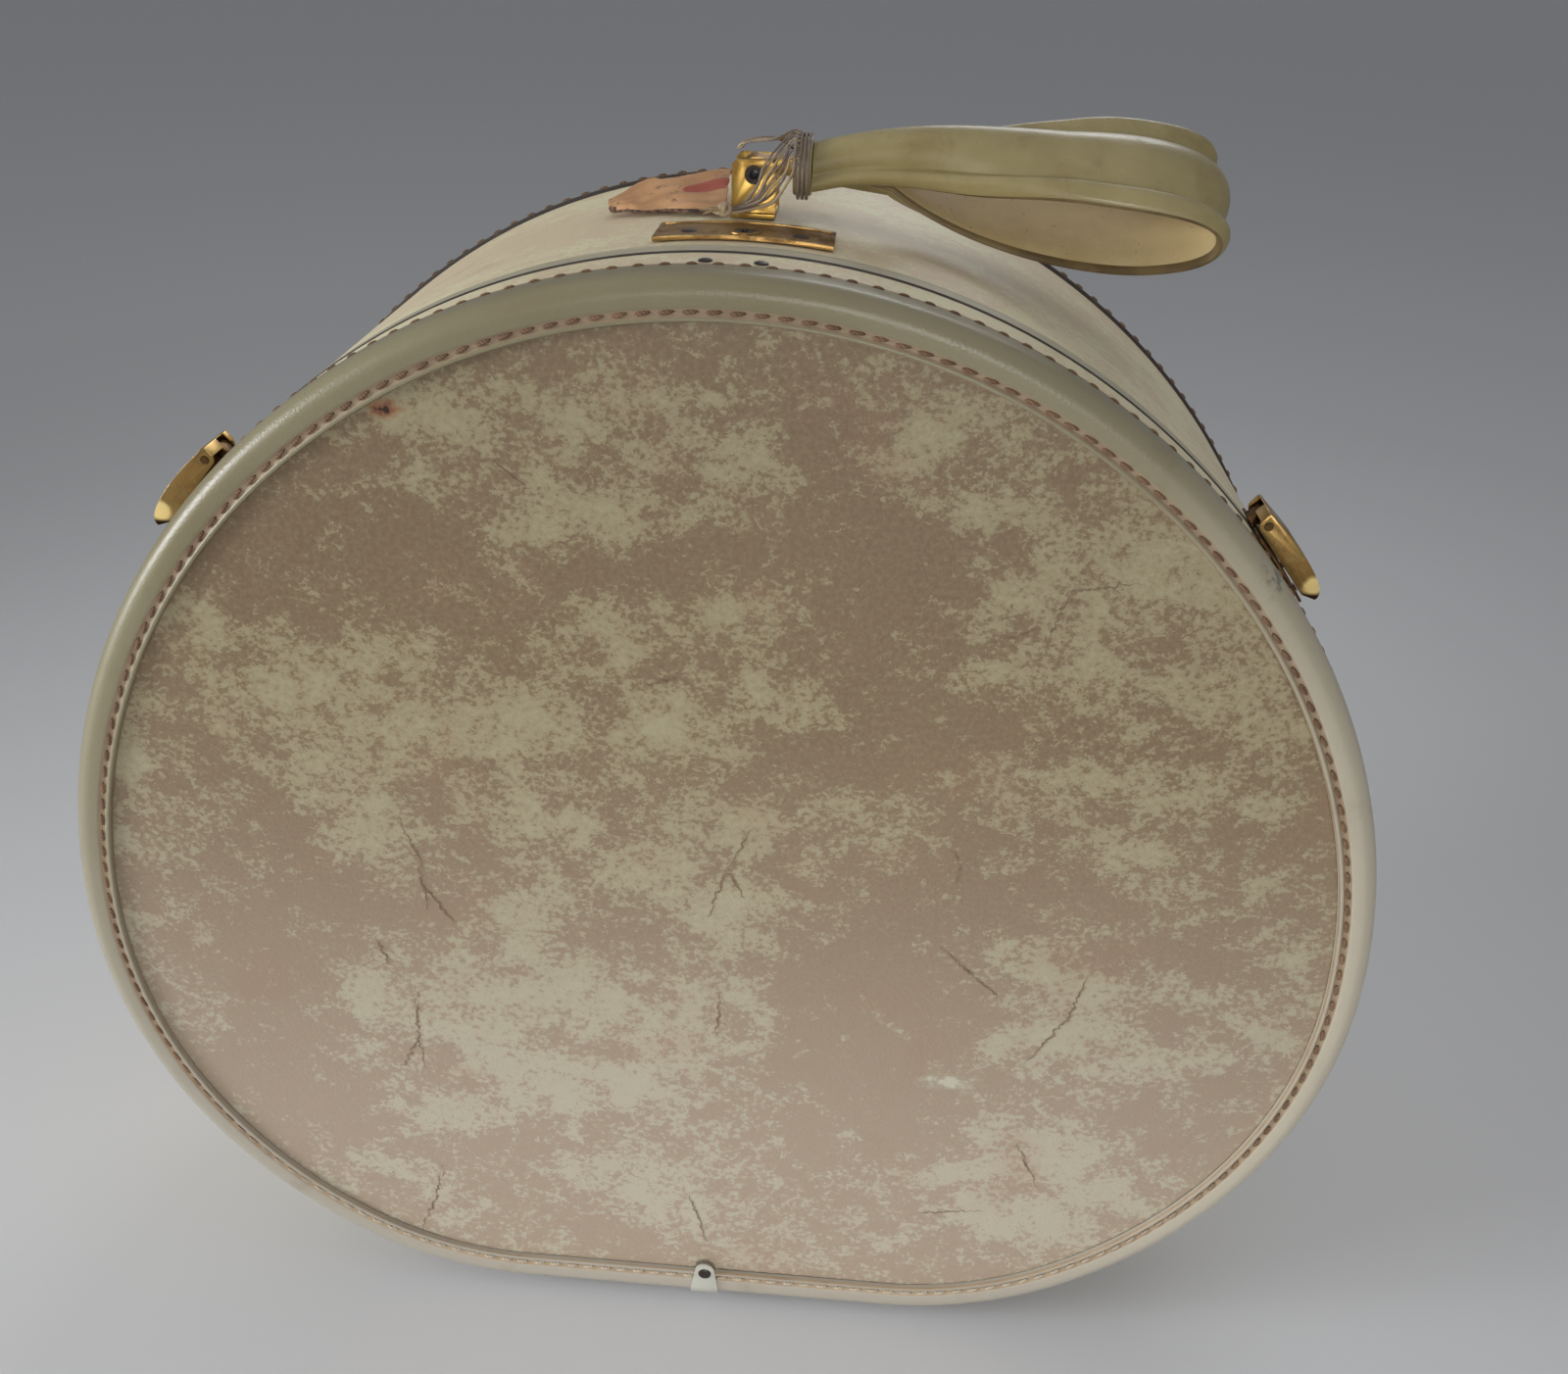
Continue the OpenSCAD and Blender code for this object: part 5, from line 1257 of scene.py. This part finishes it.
# Dark brown on the tag's front edge, folded front corner and back edge: painted shade of the curled edge and the fold,
# partly grime on the torn paper.
tag_edge_shade_and_grime, tree, skin, here = new_finish("tag_edge_shade_and_grime", Roughness=0.9)
frayed = noise(tree, here, 420.0, 4.0, 0.7)
coat(tree, skin, Base_Color=over(tree, fade(tree, frayed, 0.4, 0.62), paint(58, 44, 40), paint(126, 94, 72)))
dress(tag, paper, tag_edge_shade_and_grime)
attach(tag, "case")
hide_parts("luggage_tag")

# LATCHES
# Pressed brass levers with a domed hood swing up on a pin in the body's base plate and hook over a
# strike plate on the lid. The hoods have brown spots; a bright patch on each is a painted highlight, and their hollow
# ends and the plates under them are painted dark as painted shade.

# The latches' base plates, strikes, pins and rivets are painted in dark browns: painted shade under and beside the
# levers, on worn brass.
latch_brass = brass_finish("latch_brass", paint(112, 84, 54), paint(76, 54, 36), paint(46, 32, 22), 0.4, 110.0)
lever_brass, tree, skin, here = new_finish("lever_brass", Metallic=1.0)
wear = use_group(tree, brass_wear, Vector=here, Scale=110.0)
colour = over(tree, wear["Tarnish"], paint(184, 152, 94), paint(146, 114, 66))
colour = tinge(tree, wear["Spots"], 0.4, colour, paint(98, 70, 40))
# A pale bright patch near the lower end of each hood, less metallic than the rest, is a painted highlight.
both = shader(tree, "VectorMath", {0: here}, operation="ABSOLUTE").outputs[0]
glint_spot = shader(tree, "VectorMath", {0: both, 1: (0.1862, 0.0715, 0.3276)}, operation="DISTANCE").outputs["Value"]
rub_and_glint = fade(tree, sums(tree, "ADD", glint_spot, sums(tree, "MULTIPLY", wear["Tarnish"], 0.001)), 0.0046, 0.0024)
colour = over(tree, rub_and_glint, colour, paint(255, 226, 150))
# Below this height the lever is painted dark brown: painted shade inside its hollow lower end.
height = measure(tree, here, 2)
coat(tree, skin, Base_Color=over(tree, fade(tree, height, 0.3250, 0.3236), colour, paint(56, 36, 24)))
coat(tree, skin, Metallic=fade(tree, rub_and_glint, 0.0, 1.0, 1.0, 0.45))
coat(tree, skin, Roughness=fade(tree, wear["Tarnish"], 0.0, 1.0, 0.28, 0.46))
raise_surface(tree, skin, wear["Scratch"], 0.000008)
for side in ("left", "right"):
    lever = ease("latch_lever_" + side, 0.0006, side + "_lever")
    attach(lever, side + "_latch")
    base = ease("latch_base_" + side, 0.0002, side + "_latch_base")
    strike = ease("latch_strike_" + side, 0.0002, side + "_strike")
    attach(base, "case")
    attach(strike, "lid")
    for part, finish in ((lever, lever_brass), (base, latch_brass), (strike, latch_brass)):
        dress(part, finish)
    dress(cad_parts["latch_pin_" + side], latch_brass)
for node in ("latch_rivets", "strike_rivets"):
    dress(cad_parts[node], latch_brass)

# FLOOR, LIGHT AND CAMERA
# A plain pale floor, soft lamps at the left, in front, overhead and weakly behind, and a camera at the
# height and angle of a person who looks down on the case from in front.

bpy.ops.object.select_all(action="DESELECT")
bpy.ops.mesh.primitive_circle_add(vertices=128, radius=30, fill_type="NGON", location=(0, 0, 0))
floor = bpy.context.object
floor.name = "floor"
floor_paint, tree, skin, here = new_finish("floor_paint", Roughness=0.7, Base_Color=(0.6, 0.605, 0.62, 1))
dress(floor, floor_paint)


def soft_lamp(name, place, aim, size, power, colour, spread):
    """A square soft lamp at a place, turned to what it lights, with its spread in degrees."""
    lamp = bpy.data.lights.new(name, "AREA")
    lamp.size, lamp.energy, lamp.color, lamp.spread = size, power, colour, math.radians(spread)
    holder = bpy.data.objects.new(name, lamp)
    bpy.context.collection.objects.link(holder)
    holder.location = place
    holder.rotation_euler = (Vector(aim) - Vector(place)).to_track_quat("-Z", "Y").to_euler()


soft_lamp("window", (-1.75, -0.8, 0.52), (0, -0.15, 0.0), 0.7, 2.75, (0.97, 0.985, 1.0), 70)
soft_lamp("window_edge", (-1.7, -0.48, 0.5), (-0.1, -0.1, 0.2), 0.4, 1.5, (0.97, 0.985, 1.0), 70)
soft_lamp("room", (0.2, -1.9, 0.52), (0.05, -0.2, -0.05), 0.6, 1.6, (1.0, 0.99, 0.97), 45)
soft_lamp("ceiling", (0.1, -0.1, 2.2), (0, 0, 0.3), 3.0, 9, (1.0, 0.98, 0.95), 180)
soft_lamp("behind", (0.35, 1.7, 1.3), (0, 0.1, 0.2), 0.8, 0.6, (0.98, 0.99, 1.0), 50)
world = bpy.data.worlds.new("studio")
bpy.context.scene.world = world
world.use_nodes = True
sky = world.node_tree
upward = shader(sky, "SeparateXYZ", {0: shader(sky, "TexCoord").outputs["Generated"]}).outputs[2]
glow = fade(sky, upward, -0.1, 0.9)
sky.links.new(over(sky, glow, (0.38, 0.385, 0.40, 1), (0.52, 0.53, 0.55, 1)), sky.nodes["Background"].inputs[0])
sky.nodes["Background"].inputs[1].default_value = 0.5

yaw, pitch, roll = (math.radians(a) for a in (-2.706, 28.277, -2.617))
forward = Vector((math.sin(yaw) * math.cos(pitch), math.cos(yaw) * math.cos(pitch), -math.sin(pitch)))
right = Vector((math.cos(yaw), -math.sin(yaw), 0))
down = forward.cross(right)
right, down = math.cos(roll) * right + math.sin(roll) * down, math.cos(roll) * down - math.sin(roll) * right
view = bpy.data.cameras.new("view")
view.sensor_width, view.lens = 36, 34.30
camera = bpy.data.objects.new("view", view)
bpy.context.collection.objects.link(camera)
turned = Matrix((right, -down, -forward)).transposed().to_4x4()
camera.matrix_world = Matrix.Translation((0.04111, -0.5144, 0.51627)) @ turned
bpy.context.scene.camera = camera
bpy.context.scene.view_settings.view_transform = "Standard"
